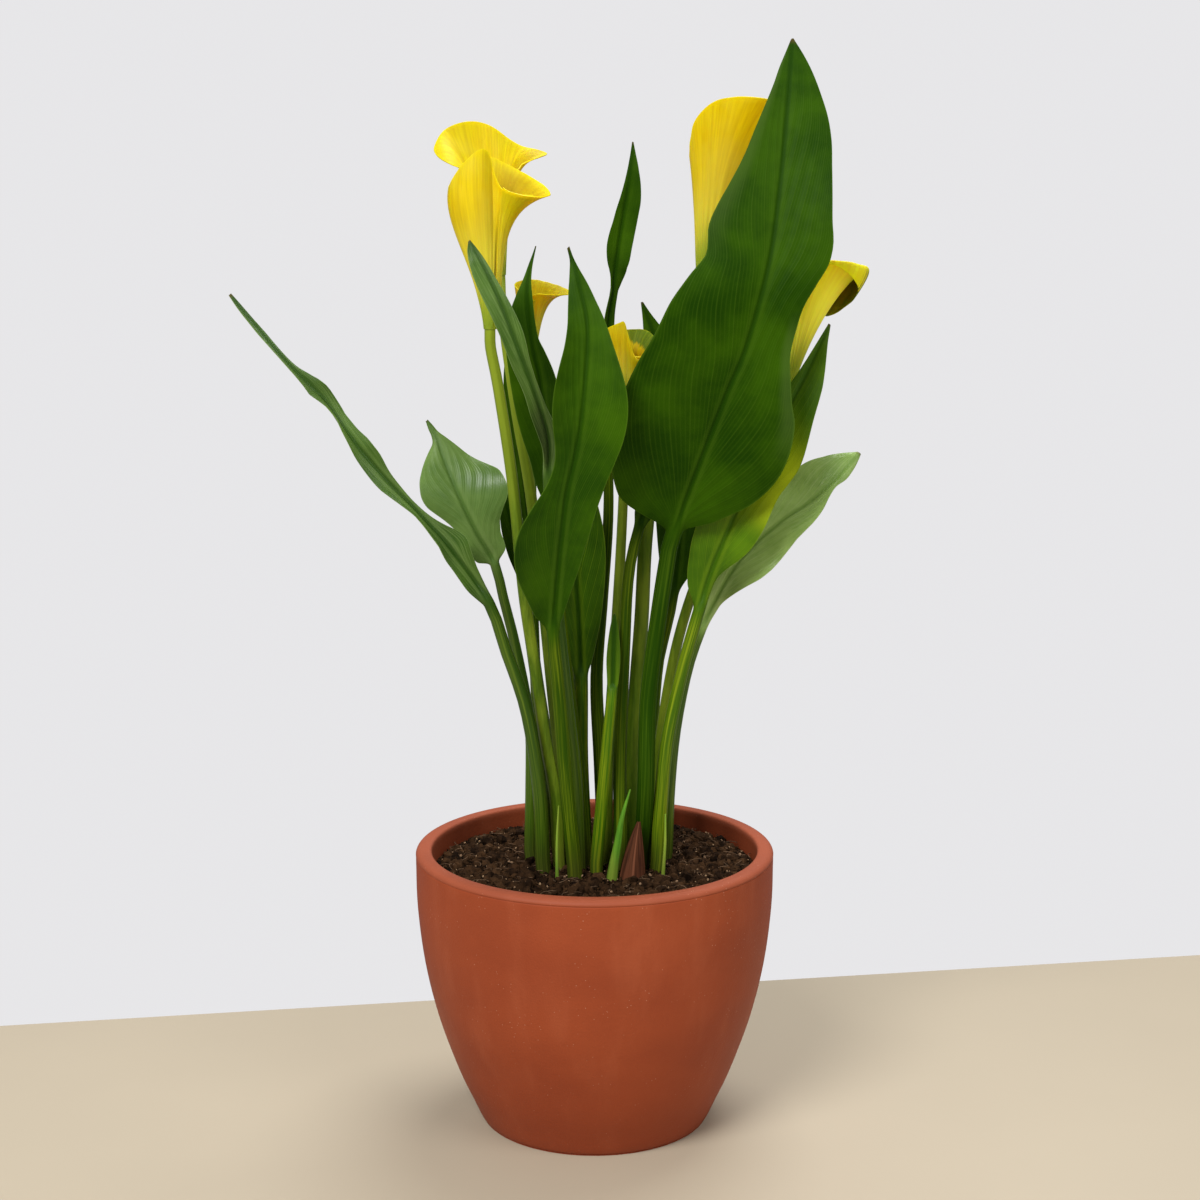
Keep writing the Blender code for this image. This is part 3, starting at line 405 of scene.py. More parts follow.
def closedSheet(name, top, low, notes):
    # One closed body between two grids of points. notes: attribute name to its values, or to an upper and a
    # lower set of them.
    rows, cols, _ = top.shape
    half = rows * cols
    index = np.arange(half).reshape(rows, cols)
    a, b, c, d = index[:-1, :-1], index[:-1, 1:], index[1:, 1:], index[1:, :-1]
    quads = np.stack([a, b, c, d], -1).reshape(-1, 4)
    under = quads[:, ::-1] + half
    edge = np.concatenate([index[0, :], index[1:, -1], index[-1, -2::-1], index[-2:0:-1, 0]])
    after = np.roll(edge, -1)
    strip = np.stack([edge, edge + half, after + half, after], -1)
    mesh = bpy.data.meshes.new(name)
    verts = np.concatenate([top.reshape(-1, 3), low.reshape(-1, 3)]) * mm
    mesh.from_pydata(verts.tolist(), [], np.concatenate([quads, under, strip]).tolist())
    for key, value in notes.items():
        both = value if isinstance(value, tuple) else (value, value)
        values = np.concatenate([np.broadcast_to(v, (rows, cols)).ravel() for v in both])
        mesh.attributes.new(key, "FLOAT", "POINT").data.foreach_set("value", values.astype(np.float32))
    mend(mesh)
    mesh.shade_smooth()
    mesh.set_sharp_from_angle(angle=math.radians(build["sharp"]))
    return mesh


def thickSheet(name, grid, half, notes):  # the same from one grid and half its thickness
    normal = np.cross(np.gradient(grid, axis=1), np.gradient(grid, axis=0))
    normal /= np.linalg.norm(normal, axis=2, keepdims=True)
    return closedSheet(name, grid + normal * half, grid - normal * half, notes)


def addPiece(name, mesh, mat, slot, *nodes):
    piece = link(name, mesh)
    mesh.materials.clear()
    mesh.materials.append(mat)
    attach(piece, "root")
    if nodes:
        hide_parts(*nodes)


def lineHost(name, points, radii=None):
    # A poly curve for a geometry tree to work on.
    data = bpy.data.curves.new(name, "CURVE")
    data.dimensions = "3D"
    line = data.splines.new("POLY")
    line.points.add(len(points) - 1)
    for k, point in enumerate(points):
        line.points[k].co = (*(c * mm for c in point), 1.0)
        line.points[k].radius = radii[k] if radii else 1.0
    return link(name, data)


# Pot: one turned wall with a rounded lip.

pot = {
    "height": 145.1, "foot": 56.6, "flat": 0.25, "steps": 160, "fine": 5, "hub": 0.00001,
    "profile": [
        (0.01, 9.0), (30.0, 9.0), (50.0, 9.0), (58.0, 12.5), (64.5, 28.7), (74.0, 57.4), (80.4, 86.2),
        (83.4, 115.0), (83.9, 134.0), (84.1, 140.0), (84.2, 142.9), (84.5, 144.2), (85.4, 144.9), (87.2, 145.1),
        (89.2, 145.0), (90.8, 144.6), (91.9, 143.9), (92.5, 143.0), (92.6, 142.2), (92.3, 141.7), (92.5, 141.0),
        (92.5, 136.0), (92.0, 115.0), (88.7, 86.2), (82.2, 57.4), (72.4, 28.7), (64.8, 11.5), (60.6, 2.4),
        (58.8, 0.6), (56.6, 0.0), (30.0, 0.0), (0.01, 0.0),
    ],
    "clay": (0.315, 0.060, 0.019), "pale": (0.40, 0.098, 0.040), "deep": (0.268, 0.049, 0.016),
    "lip": (0.30, 0.085, 0.045), "innerWallShade": (0.085, 0.022, 0.009), "speck": (0.60, 0.30, 0.19), "rough": 0.45,
    # Pairs of heights, and for innerWall of radii, between which a tint comes in. These are in metres.
    "lipBand": (0.1412, 0.1432), "dirtBand": (0.150, 0.136), "footShadeBand": (0.075, 0.0),
    "shadeTop": (0.1450, 0.1405), "shadeLow": (0.120, 0.128), "innerWall": (0.0862, 0.0848),
    "merge": 0.00003, "mend": 0.00002,
}


def potFinish():
    f = Finish("potClay", {"Specular IOR Level": 0.16})
    cloud = f.noise(f.place((1.0, 1.0, 1.6)), 16.0, 4.0)
    wipe = f.noise(f.place((1.0, 1.0, 0.25)), 60.0)  # faint upright wipe marks
    grain = f.noise(f.place(), 900.0, 2.0)
    dots = f.node("ShaderNodeTexVoronoi", {}, {"Vector": f.place(), "Scale": 420.0})
    specks = (1.0 - f.step(dots, 0.05, 0.16)) * f.step(f.noise(f.place(), 70.0), 0.48, 0.62)
    level, away = f.level(), f.fromAxis(f.place())
    dirt = f.step(f.noise(f.place(), 210.0, 4.0), 0.60, 0.72) * f.step(level, *pot["dirtBand"])
    # Painted shade: the inner wall between the soil and the lip is darkened, as shade falls inside the pot.
    shadedInside = f.step(away, *pot["innerWall"]) * f.step(level, *pot["shadeTop"]) * f.step(level, *pot["shadeLow"])
    colour = f.paint(
        f.tint(f.step(cloud, 0.3, 0.72), pot["deep"], pot["clay"]),
        (f.step(wipe, 0.45, 0.8) * 0.35, pot["pale"]),
        (f.step(level, *pot["lipBand"]) * 0.45, pot["lip"]),
        (specks * 0.55, pot["speck"]),
        (dirt * 0.25, pot["deep"]),
        # Painted shade: the lower wall darkens towards the foot.
        (f.step(level, *pot["footShadeBand"]) * 0.6, pot["deep"]),
        (shadedInside * 0.4, pot["innerWallShade"]))
    return f.done(colour, cloud * 0.12 + grain * 0.10 + pot["rough"], grain * 0.9 + wipe * 0.5 - specks * 0.5)


def makePot():
    tree = Maker("turnedPot", {"Steps": pot["steps"], "Hub": pot["hub"], "Merge": pot["merge"]})
    wall = tree.swept(tree.ring(tree.take("Steps"), tree.take("Hub")), tree.take("Geometry"), {})
    tree.close(tree.node("GeometryNodeMergeByDistance", {}, {0: wall, "Distance": tree.take("Merge")}))
    corners = [Vector((r, z, 0.0)) for r, z in pot["profile"]]
    fine = [splinePoint(corners, k / pot["fine"]) for k in range((len(corners) - 1) * pot["fine"] + 1)]
    fine = [(max(0.0, p.x), min(p.y, pot["height"])) for p in fine]
    line = [(r, 0.0 if z < pot["flat"] and r < pot["foot"] else -z, 0.0) for r, z in fine]
    mat = potFinish()
    mesh = tree.run(lineHost("potLine", line), "potWall", mat)
    mend(mesh, pot["mend"])
    mesh.shade_smooth()
    addPiece("potWall", mesh, mat, "pot_clay", "pot")


makePot()
print("pot turned")


# Soil: the CAD bed stays, and crumbs, clumps, grit, flecks and root hairs lie on it.

soil = {
    "dark": (0.0045, 0.0022, 0.0011), "brown": (0.064, 0.031, 0.0130), "rough": 0.89, "paleRough": 0.79,
    "fleck": (0.34, 0.22, 0.12), "hair": (0.20, 0.12, 0.07), "hairDark": (0.08, 0.048, 0.028),
    "rim": 4.0, "mend": 0.00001,
    "clumps": {"Density": 22000.0, "Smallest": 0.0014, "Largest": 0.0044, "Bias": 1.4, "Reach": 0.0780,
               "Rise": 0.0014, "Rag": 0.0020, "Scale": 420.0, "Seed": 41},
    "crumbs": {"Density": 215000.0, "Smallest": 0.0006, "Largest": 0.0034, "Bias": 2.6, "Reach": 0.0795,
               "Rise": 0.0004, "Rag": 0.0011, "Scale": 520.0, "Seed": 3},
    "grit": {"Density": 330000.0, "Smallest": 0.0003, "Largest": 0.0010, "Bias": 1.4, "Reach": 0.0825,
             "Rise": 0.0012, "Rag": 0.0003, "Scale": 900.0, "Seed": 11},
    "flecks": {"Density": 21000.0, "Smallest": 0.00035, "Largest": 0.0010, "Bias": 1.6, "Reach": 0.081,
               "Rise": 0.0023, "Rag": 0.0004, "Scale": 900.0, "Seed": 23},
    "hairs": {"Density": 11000.0, "Long": 0.0085, "Thick": 0.00017, "Rise": 0.0022, "Seed": 31},
}


def soilFinish(name, dark, light, rough, useTint=True):
    f = Finish(name, {"Specular IOR Level": 0.05})
    cloud = f.noise(f.place(), 190.0, 5.0, 0.65)
    grain = f.noise(f.place(), 1500.0)
    shade = f.step(cloud, 0.42, 0.72)
    if useTint:
        shade = shade * 0.45 + f.read("tint") * 0.55
    return f.done(f.tint(shade, dark, light), grain * 0.08 + rough, grain + cloud, 0.8, 0.0006)


def scatter(tree, rise):  # points on the bed, each a little above it
    spots = tree.node("GeometryNodeDistributePointsOnFaces", {},
                      {0: tree.take("Geometry"), "Density": tree.take("Density"), "Seed": tree.take("Seed")})
    return tree.moved(spots, tree.spot(0.0, 0.0, rise))


def crumbTree(name, sizes):
    tree = Maker(name, sizes)
    seed = tree.take("Seed")
    raised = scatter(tree, tree.chance(0.0, 1.0, seed + 5.0) * tree.take("Rise"))
    here = tree.node("GeometryNodeInputPosition")
    size = tree.chance(0.0, 1.0, seed) ** tree.take("Bias")
    size = size * (tree.take("Largest") - tree.take("Smallest")) + tree.take("Smallest")
    turn = tree.chance((0.0, 0.0, 0.0), (6.28, 6.28, 6.28), seed + 1.0)
    squash = tree.chance((0.55, 0.6, 0.45), (1.25, 1.1, 1.0), seed + 2.0)
    placed = tree.node("GeometryNodeInstanceOnPoints", {}, {
        0: raised, "Selection": tree.fromAxis(here).math("LESS_THAN", tree.take("Reach")),
        "Instance": tree.ball(1.0), "Rotation": turn, "Scale": tree.vector("SCALE", squash, size)})
    tinted = tree.node("GeometryNodeStoreNamedAttribute", {"data_type": "FLOAT", "domain": "INSTANCE"},
                       {0: placed, "Name": "tint", "Value": tree.chance(0.0, 1.0, seed + 3.0)})
    wander = tree.node("ShaderNodeTexNoise", {}, {"Vector": here, "Scale": tree.take("Scale"), "Detail": 1.0},
                       out="Color")
    rag = tree.vector("SCALE", tree.vector("SUBTRACT", wander, (0.5, 0.5, 0.5)), tree.take("Rag"))
    return tree.close(tree.moved(tree.real(tinted), rag), False)


def hairTree(name, sizes):
    tree = Maker(name, sizes)
    seed, half = tree.take("Seed"), tree.take("Long") * 0.5
    arc = tree.node("GeometryNodeCurveQuadraticBezier", {}, {
        "Resolution": 7, "Start": tree.spot(half * -1.0, 0.0, half * -0.12),
        "Middle": tree.spot(0.0, half * 0.9, half * 0.25), "End": tree.spot(half, half * -0.2, half * -0.12)})
    placed = tree.node("GeometryNodeInstanceOnPoints", {}, {
        0: scatter(tree, tree.take("Rise")), "Instance": arc, "Scale": tree.chance(0.35, 1.0, seed + 2.0),
        "Rotation": tree.chance((-0.25, -0.25, 0.0), (0.25, 0.25, 6.28), seed + 1.0)})
    return tree.close(tree.swept(tree.real(placed), tree.ring(5, tree.take("Thick")), {"Fill Caps": True}))


def soilSurface(name):
    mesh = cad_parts["soil"].data.copy()
    low = (build["soilTop"] - soil["rim"]) * mm
    mend(mesh, soil["mend"], lambda f: f.normal.z < 0.5 or f.calc_center_median().z < low)
    mesh.materials.clear()
    return link(name, mesh)


def dress(node, mat):  # a CAD node that is seen as it is
    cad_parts[node].data.materials.clear()
    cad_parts[node].data.materials.append(mat)


def makeSoil():
    dress("soil", soilFinish("soilBed", soil["dark"], soil["brown"], soil["rough"], False))
    crumb = soilFinish("soilCrumb", soil["dark"], soil["brown"], soil["rough"])
    fleck = soilFinish("soilFleck", soil["hair"], soil["fleck"], soil["paleRough"])
    hair = soilFinish("rootHair", soil["hairDark"], soil["hair"], soil["paleRough"], False)
    for key, mat, makeTree in (("clumps", crumb, crumbTree), ("crumbs", crumb, crumbTree),
                               ("grit", crumb, crumbTree), ("flecks", fleck, crumbTree), ("hairs", hair, hairTree)):
        mesh = makeTree(key, soil[key]).run(soilSurface(key), key, mat)
        addPiece("soil_" + key, mesh, mat, "soil")


makeSoil()
print("soil laid")


# Leaves: a round stalk that widens into a blade.

leafForm = {
    "cols": 41, "bladeRows": 92, "stalkStep": 9.0, "thick": 0.72, "edgeThin": 0.45, "slimmest": 0.3, "groove": 0.28,
    "grooveWide": 1.1, "lobeReach": 0.3, "waveLag": 0.15, "tip": 0.2, "corrugate": 0.15, "corrugateWide": 20.0,
    "ripple": 0.55, "ripples": 9.0, "rippleWide": 14.0, "ribDeep": 0.8, "ribTaper": 1.3, "crowd": 1.35, "ease": 0.4,
    "veinSweep": 0.52, "veinDroop": 0.15, "heel": (0.045, 0.022, 0.01), "heelBand": (0.162, 0.136),
    "lit": (0.5, 0.6, 0.008), "dry": (0.12, 0.07, 0.025),
}
# leafLook and leafBase hold what a look or a leaf has unless it says otherwise.
leafLook = {
    "under": (0.05, 0.105, 0.008), "pale": (0.24, 0.33, 0.13), "gloss": 0.42, "show": 0.2, "waxSheen": 0.0, "lime": 0.0,
    "edge": 0.0, "veins": 8.0,
}
leafLooks = {
    "deepLeaf": {
        "dark": (0.0115, 0.043, 0.0004), "mid": (0.033, 0.09, 0.0008), "vein": (0.07, 0.14, 0.008),
        "stalk": (0.022, 0.06, 0.0012), "streak": (0.125, 0.18, 0.006), "pale": (0.1, 0.16, 0.04), "shine": 0.05,
        "show": 0.22, "veins": 9.0,
    },
    "tallLeaf": {
        "dark": (0.0085, 0.035, 0.0003), "mid": (0.026, 0.075, 0.0006), "vein": (0.055, 0.115, 0.006),
        "stalk": (0.012, 0.044, 0.0008), "streak": (0.05, 0.105, 0.004), "pale": (0.085, 0.14, 0.03), "gloss": 0.46,
        "shine": 0.03, "show": 0.16, "edge": 0.25, "veins": 9.0,
    },
    "sheenLeaf": {
        "dark": (0.055, 0.12, 0.016), "mid": (0.115, 0.2, 0.04), "vein": (0.19, 0.285, 0.085),
        "under": (0.21, 0.3, 0.12), "stalk": (0.03, 0.08, 0.003), "streak": (0.1, 0.17, 0.01), "gloss": 0.32,
        "shine": 0.25, "show": 0.14, "waxSheen": 0.16,
    },
    "satinLeaf": {
        "dark": (0.016, 0.055, 0.002), "mid": (0.05, 0.115, 0.008), "vein": (0.17, 0.26, 0.07),
        "under": (0.12, 0.19, 0.05), "stalk": (0.024, 0.066, 0.002), "streak": (0.1, 0.16, 0.01), "gloss": 0.32,
        "shine": 0.22, "waxSheen": 0.5,
    },
    # Painted sheen: brightened leaf colours for leaf_lowright, standing in for the light its glossy face reflects.
    "silverLeaf": {
        "dark": (0.135, 0.245, 0.036), "mid": (0.31, 0.46, 0.115), "vein": (0.36, 0.48, 0.18),
        "under": (0.21, 0.3, 0.12), "stalk": (0.03, 0.08, 0.003), "streak": (0.12, 0.19, 0.01),
        "pale": (0.3, 0.4, 0.18), "gloss": 0.3, "shine": 0.3, "waxSheen": 0.4,
    },
    "limeLeaf": {
        "dark": (0.034, 0.095, 0.0008), "mid": (0.08, 0.175, 0.0015), "vein": (0.17, 0.27, 0.008),
        "under": (0.14, 0.21, 0.01), "stalk": (0.045, 0.11, 0.002), "streak": (0.22, 0.29, 0.008), "gloss": 0.4,
        "shine": 0.12, "show": 0.25, "lime": 0.95,
    },
    "brightLeaf": {
        "dark": (0.014, 0.052, 0.0008), "mid": (0.042, 0.115, 0.0015), "vein": (0.16, 0.26, 0.008),
        "under": (0.06, 0.14, 0.004), "stalk": (0.045, 0.125, 0.002), "streak": (0.22, 0.28, 0.006),
        "pale": (0.3, 0.36, 0.06), "shine": 0.1, "show": 0.4, "veins": 7.0,
    },
}
leafBase = {
    "look": "deepLeaf", "slot": "leaf_dark", "join": 3, "curl": 0, "lobe": 0, "wave": (0.8, 2.0, 0.0),
    "turn": [(0, 0), (1, 0)],
}
# wide: share of the blade, then its width to the left and right of the midrib. turn, cup: share, then degrees.
leaves = {
    "leaf_tall": {
        "look": "tallLeaf", "stand": (24, -4), "stalk": (4.5, 4.1), "join": 4, "curl": -8, "lobe": 9,
        "wave": (1.6, 2.5, 0.4), "turn": [(0, 0), (1, 4)], "cup": [(0, 14), (0.4, 14), (1, 8)],
        "path": [(26, -18, 180), (27, -22, 227), (31, -27, 264), (36, -33, 301), (39, -36, 315), (53, -48, 356),
            (63, -55, 384), (71, -58, 404), (78, -60, 429), (83, -58, 451), (87, -52, 480), (91, -40, 517),
            (94, -26, 550)],
        "wide": [(0, 4, 4), (0.03, 18, 7), (0.05, 26, 12), (0.08, 34, 19), (0.12, 41, 29), (0.16, 45.6, 35.1),
            (0.2, 47.6, 38.1), (0.25, 48.3, 38), (0.3, 47.4, 34.8), (0.35, 45, 28.1), (0.4, 44, 21.6),
            (0.45, 41.6, 20.4), (0.5, 36.1, 21), (0.545, 30.6, 24.6), (0.575, 30.6, 27.6), (0.61, 31.4, 28.1),
            (0.65, 28.8, 26.1), (0.7, 23.6, 24.6), (0.75, 18.8, 23.3), (0.8, 15.1, 22.1), (0.85, 11.3, 19.4),
            (0.9, 7.6, 14.8), (0.94, 5.1, 10.4), (0.97, 2.8, 6), (1, 0.5, 0.5)],
    },
    "leaf_middle": {
        "stand": (-10, -24), "stalk": (3.8, 3.2), "curl": 18, "lobe": 4, "wave": (1.5, 2.0, 0.0),
        "turn": [(0, 0), (1, 6)], "cup": [(0, 16), (0.5, 12), (1, 20)],
        "path": [(-14, -30, 183), (-17, -36, 226), (-19, -42, 252), (-20, -46, 266), (-18, -54, 293),
            (-16, -60, 313), (-13, -66, 337), (-8, -70, 360), (-5, -72, 382), (-3, -70, 415), (-7, -66, 436),
            (-12, -62, 453)],
        "wide": [(0, 3, 3), (0.05, 8.1, 3.6), (0.12, 15.1, 6.6), (0.16, 19.1, 8.6), (0.2, 22.3, 10.6),
            (0.25, 23.9, 12.3), (0.3, 22, 14.3), (0.35, 17, 15.6), (0.4, 11.4, 16.8), (0.45, 9.6, 17.8),
            (0.5, 11, 19.6), (0.55, 13.8, 21.6), (0.6, 15.6, 22.4), (0.65, 15.6, 21.2), (0.7, 14.3, 17.8),
            (0.75, 12.3, 13.6), (0.8, 10.8, 9.8), (0.85, 9.1, 6.6), (0.9, 6, 4.4), (0.94, 3, 2), (0.97, 0.9, 0.8),
            (1, 0.4, 0.4)],
    },
    "leaf_folded": {
        "look": "satinLeaf", "slot": "leaf_light", "stand": (-8, -13), "stalk": (3.8, 2.8), "join": 4, "curl": 4,
        "turn": [(0, 10), (1, 10)], "cup": [(0, 24), (0.5, 20), (1, 24)],
        "path": [(-10, -14, 184), (-14, -22, 227), (-18, -30, 270), (-21, -38, 311), (-22, -44, 342),
            (-22, -54, 362), (-26, -66, 380), (-33.5, -74, 402), (-42.5, -75, 426), (-50, -72, 442),
            (-58, -66, 456)],
        "wide": [(0, 3, 3), (0.05, 2.6, 5), (0.13, 3.3, 6.6), (0.22, 4.8, 5.6), (0.32, 5.6, 3.4), (0.42, 5.3, 2.8),
            (0.52, 6.2, 3.4), (0.62, 6.6, 5), (0.72, 7.6, 4.4), (0.82, 8.4, 3.2), (0.9, 7, 2.4), (0.96, 3.6, 1.4),
            (1, 0.4, 0.4)],
    },
    "leaf_slim": {
        "stand": (-5, -3), "stalk": (3.8, 2.8), "curl": 8, "turn": [(0, 0), (1, -14)], "cup": [(0, 26), (1, 22)],
        "path": [(-9, 0, 190), (-15, -8, 245), (-20, -16, 298), (-21, -20, 322), (-22, -24, 344), (-24, -30, 367),
            (-26, -36, 389), (-30, -38, 408), (-32, -38, 428), (-31, -36, 442), (-28, -34, 453)],
        "wide": [(0, 3, 3), (0.05, 4.6, 3), (0.13, 8.1, 4.8), (0.22, 9.8, 7.3), (0.32, 12.6, 9.4),
            (0.42, 14.6, 10.3), (0.52, 15.3, 9.8), (0.62, 13.8, 6.6), (0.67, 12.4, 4.2), (0.77, 8.6, 3.2),
            (0.82, 5.6, 2.8), (0.87, 2.8, 1.8), (0.93, 1.1, 1.3), (1, 0.4, 0.4)],
    },
    "leaf_narrow": {
        "stand": (-29, 20), "stalk": (3.5, 2.4), "wave": (0.5, 1.5, 0.0), "turn": [(0, 10), (1, 20)],
        "cup": [(0, 20), (1, 14)],
        "path": [(-29, 20, 185), (-31, 16, 240), (-32, 12, 288), (-33, 10, 310), (-35, 8, 330), (-38, 3, 358),
            (-41, -1, 380), (-44, -4, 407)],
        "wide": [(0, 3, 3), (0.25, 6, 6), (0.5, 7, 7), (0.8, 4, 4), (0.93, 1.4, 1.4), (1, 0.4, 0.4)],
    },
    "leaf_high": {
        "stand": (5, 13), "stalk": (3.9, 2.4), "join": 4, "wave": (0.5, 2.0, 0.0),
        "turn": [(0, 0), (0.4, 30), (0.52, 60), (0.6, -5), (1, -10)], "cup": [(0, 18), (1, 20)],
        "path": [(3, 13, 187), (1, 13, 230), (4, 15, 272), (7, 17, 313), (7, 18, 350), (7, 18, 390), (7, 18, 413),
            (9, 16, 430), (13, 14, 458), (17, 10, 482), (19, 8, 503)],
        "wide": [(0, 2.3, 2.3), (0.2, 3.4, 3.4), (0.4, 3.2, 3.2), (0.5, 2.6, 3), (0.55, 2.2, 4), (0.58, 3, 5.4),
            (0.62, 5, 7), (0.66, 6, 7.3), (0.7, 5.7, 7.6), (0.74, 4.8, 7.8), (0.78, 4.2, 7.9), (0.82, 3.3, 7.9),
            (0.87, 2.3, 6.6), (0.92, 1.4, 4.4), (0.96, 0.8, 2.3), (1, 0.4, 0.4)],
    },
    "leaf_long": {
        "look": "satinLeaf", "stand": (-26, -14), "stalk": (3.9, 2.8), "curl": 10, "wave": (0.8, 2.5, 0.6),
        "turn": [(0, 12), (0.15, 14), (0.2, 34), (0.3, 40), (0.4, 12), (0.5, 10), (0.55, 40), (0.6, 68), (0.64, 50),
            (0.69, 8), (0.75, 24), (0.85, 40), (1, 40)], "cup": [(0, 20), (1, 16)],
        "path": [(-28, -19, 180), (-34, -24, 222), (-44, -28, 254), (-52, -30, 278), (-69, -33, 304),
            (-85, -36, 323), (-102, -38, 342), (-118, -40, 362), (-131, -40, 381), (-146, -40, 396),
            (-161, -38, 413), (-175, -36, 430)],
        "wide": [(0, 3, 3), (0.02, 6.4, 2.8), (0.09, 6.6, 4.8), (0.13, 6.3, 7.1), (0.17, 6.3, 9.3), (0.2, 6, 7.6),
            (0.23, 5.6, 5.2), (0.27, 4.8, 3.3), (0.32, 5.3, 2.6), (0.37, 5.8, 3), (0.42, 6.3, 4), (0.47, 5.6, 6.3),
            (0.51, 4.6, 6.4), (0.55, 3.6, 5), (0.6, 3.4, 4.6), (0.65, 4.2, 4.8), (0.69, 4, 5.4), (0.72, 3.3, 4),
            (0.77, 2.6, 2.4), (0.87, 2.3, 2.1), (0.92, 1.6, 1.4), (0.96, 1.2, 0.9), (1, 0.4, 0.4)],
    },
    "leaf_round": {
        "look": "sheenLeaf", "slot": "leaf_light", "stand": (-33, 6), "stalk": (3.2, 2.4), "join": 5, "curl": -8,
        "wave": (1.8, 2.0, 0.2), "turn": [(0, 8), (1, 18)], "cup": [(0, 20), (1, 6)],
        "path": [(-33, 5, 173), (-33, 3, 206), (-36, 0, 228), (-41, -4, 255), (-46, -8, 277), (-50, -12, 295),
            (-59, -16, 312), (-67, -16, 329), (-74, -12, 345), (-79, -8, 358), (-84, -4, 366)],
        "wide": [(0, 2.5, 2.5), (0.05, 6, 8), (0.1, 8, 9.8), (0.16, 7.6, 10.8), (0.2, 7, 12.3), (0.25, 7.3, 14.1),
            (0.3, 8.8, 17.3), (0.35, 10.3, 21.1), (0.4, 12.4, 23.6), (0.45, 15.1, 24.1), (0.5, 17.8, 24),
            (0.55, 18.8, 23.2), (0.6, 18, 20.4), (0.65, 16.2, 17), (0.7, 13.3, 13.8), (0.75, 9.8, 11.2),
            (0.8, 6.1, 8.4), (0.85, 2.4, 5.1), (0.9, 1.2, 2), (0.95, 1, 1), (1, 0.4, 0.4)],
    },
    "leaf_backleft": {
        "stand": (-20, 30), "stalk": (3.6, 2.4), "wave": (0.3, 1.5, 0.0), "cup": [(0, 20), (1, 10)],
        "path": [(-24, 28, 184), (-30, 27, 228), (-34, 27, 260), (-37, 27, 280), (-40, 27, 298), (-44, 26, 316),
            (-47, 24, 332)],
        "wide": [(0, 2.5, 2.5), (0.3, 6, 6), (0.6, 6, 6), (1, 0.4, 0.4)],
    },
    "leaf_right": {
        "look": "limeLeaf", "stand": (32, -10), "stalk": (3.9, 3), "join": 4, "curl": -10, "wave": (1.2, 2.0, 0.5),
        "turn": [(0, -5), (1, -12)], "cup": [(0, 18), (1, 14)],
        "path": [(34, -15, 174), (37, -18, 206), (43, -20, 237), (48, -22, 258), (52, -24, 273), (58, -26, 294),
            (68, -30, 320), (80, -32, 347), (93, -30, 372), (104, -26, 393), (115, -20, 415)],
        "wide": [(0, 3, 3), (0.05, 7.6, 3), (0.12, 11.6, 4), (0.16, 13.1, 6.6), (0.2, 14.6, 10.1),
            (0.25, 15.6, 13.6), (0.3, 16.1, 15.3), (0.35, 15.6, 16.1), (0.4, 15.3, 16), (0.45, 14.3, 16.2),
            (0.5, 13.3, 17.8), (0.55, 12.1, 19), (0.6, 10.8, 18.3), (0.7, 7.6, 14.6), (0.8, 4.3, 11.4),
            (0.85, 3.1, 8.8), (0.9, 2.1, 5.8), (0.95, 1.2, 2.8), (1, 0.4, 0.4)],
    },
    "leaf_lowright": {
        "look": "silverLeaf", "slot": "leaf_light", "stand": (37, 3), "stalk": (3, 2.3), "wave": (1.8, 2.5, 0.3),
        "turn": [(0, -14), (1, -20)], "cup": [(0, 18), (1, 10)],
        "path": [(39, 3, 174), (42, 3, 206), (48, 2, 238), (55, 0, 260), (60, -2, 272), (69, -6, 290),
            (79, -8, 303), (93, -10, 316), (109, -10, 327), (122, -8, 339), (133, -4, 350)],
        "wide": [(0, 2.5, 2.5), (0.08, 4.6, 3), (0.13, 5.3, 3.8), (0.2, 6.1, 7.3), (0.27, 6.1, 11.3),
            (0.34, 6.3, 15.1), (0.4, 7.1, 16.3), (0.46, 8.8, 15.8), (0.52, 10.8, 14.6), (0.58, 14.1, 13.3),
            (0.63, 16.8, 12.8), (0.68, 18, 11.8), (0.73, 17.8, 9.1), (0.78, 17, 5.6), (0.83, 15.3, 3.4),
            (0.88, 12.3, 4), (0.92, 10.1, 3.2), (0.96, 7, 2), (1, 2.4, 0.5)],
    },
    "leaf_back": {
        "stand": (26, 28), "stalk": (3.5, 2.6), "wave": (1.0, 2.0, 0.0), "turn": [(0, 0), (1, 10)],
        "cup": [(0, 16), (1, 10)],
        "path": [(29, 29, 180), (33, 29, 232), (37, 28, 252), (41, 27, 272), (44, 25, 307), (44, 23, 338),
            (40, 23, 374), (32, 22, 402), (24, 20, 424)],
        "wide": [(0, 3, 3), (0.1, 9, 8), (0.25, 13, 12), (0.5, 16, 14), (0.75, 12, 12), (0.88, 6, 6),
            (0.95, 2.4, 2.4), (1, 0.4, 0.4)],
    },
    "leaf_hidden": {
        "stand": (13, -11), "stalk": (3.6, 2.6), "wave": (0.6, 2.0, 0.0), "cup": [(0, 20), (1, 14)],
        "path": [(13, -12, 193), (15, -17, 251), (17, -22, 290), (22, -25, 315), (32, -27, 345), (44, -28, 378),
            (54, -28, 405)],
        "wide": [(0, 3, 3), (0.2, 7, 7), (0.5, 10, 10), (0.8, 7, 7), (0.92, 4, 4), (1, 0.4, 0.4)],
    },
    "leaf_bright": {
        "look": "brightLeaf", "slot": "shoot_green", "stand": (-5, 10), "stalk": (3.9, 3.6), "join": 2,
        "wave": (0.3, 1.0, 0.0), "cup": [(0, 24), (1, 20)],
        "path": [(-7, 9, 187), (-7, 5, 218), (-7, 2, 234), (-8, 0, 264), (-10, -3, 296), (-11, -6, 327),
            (-11, -8, 350)],
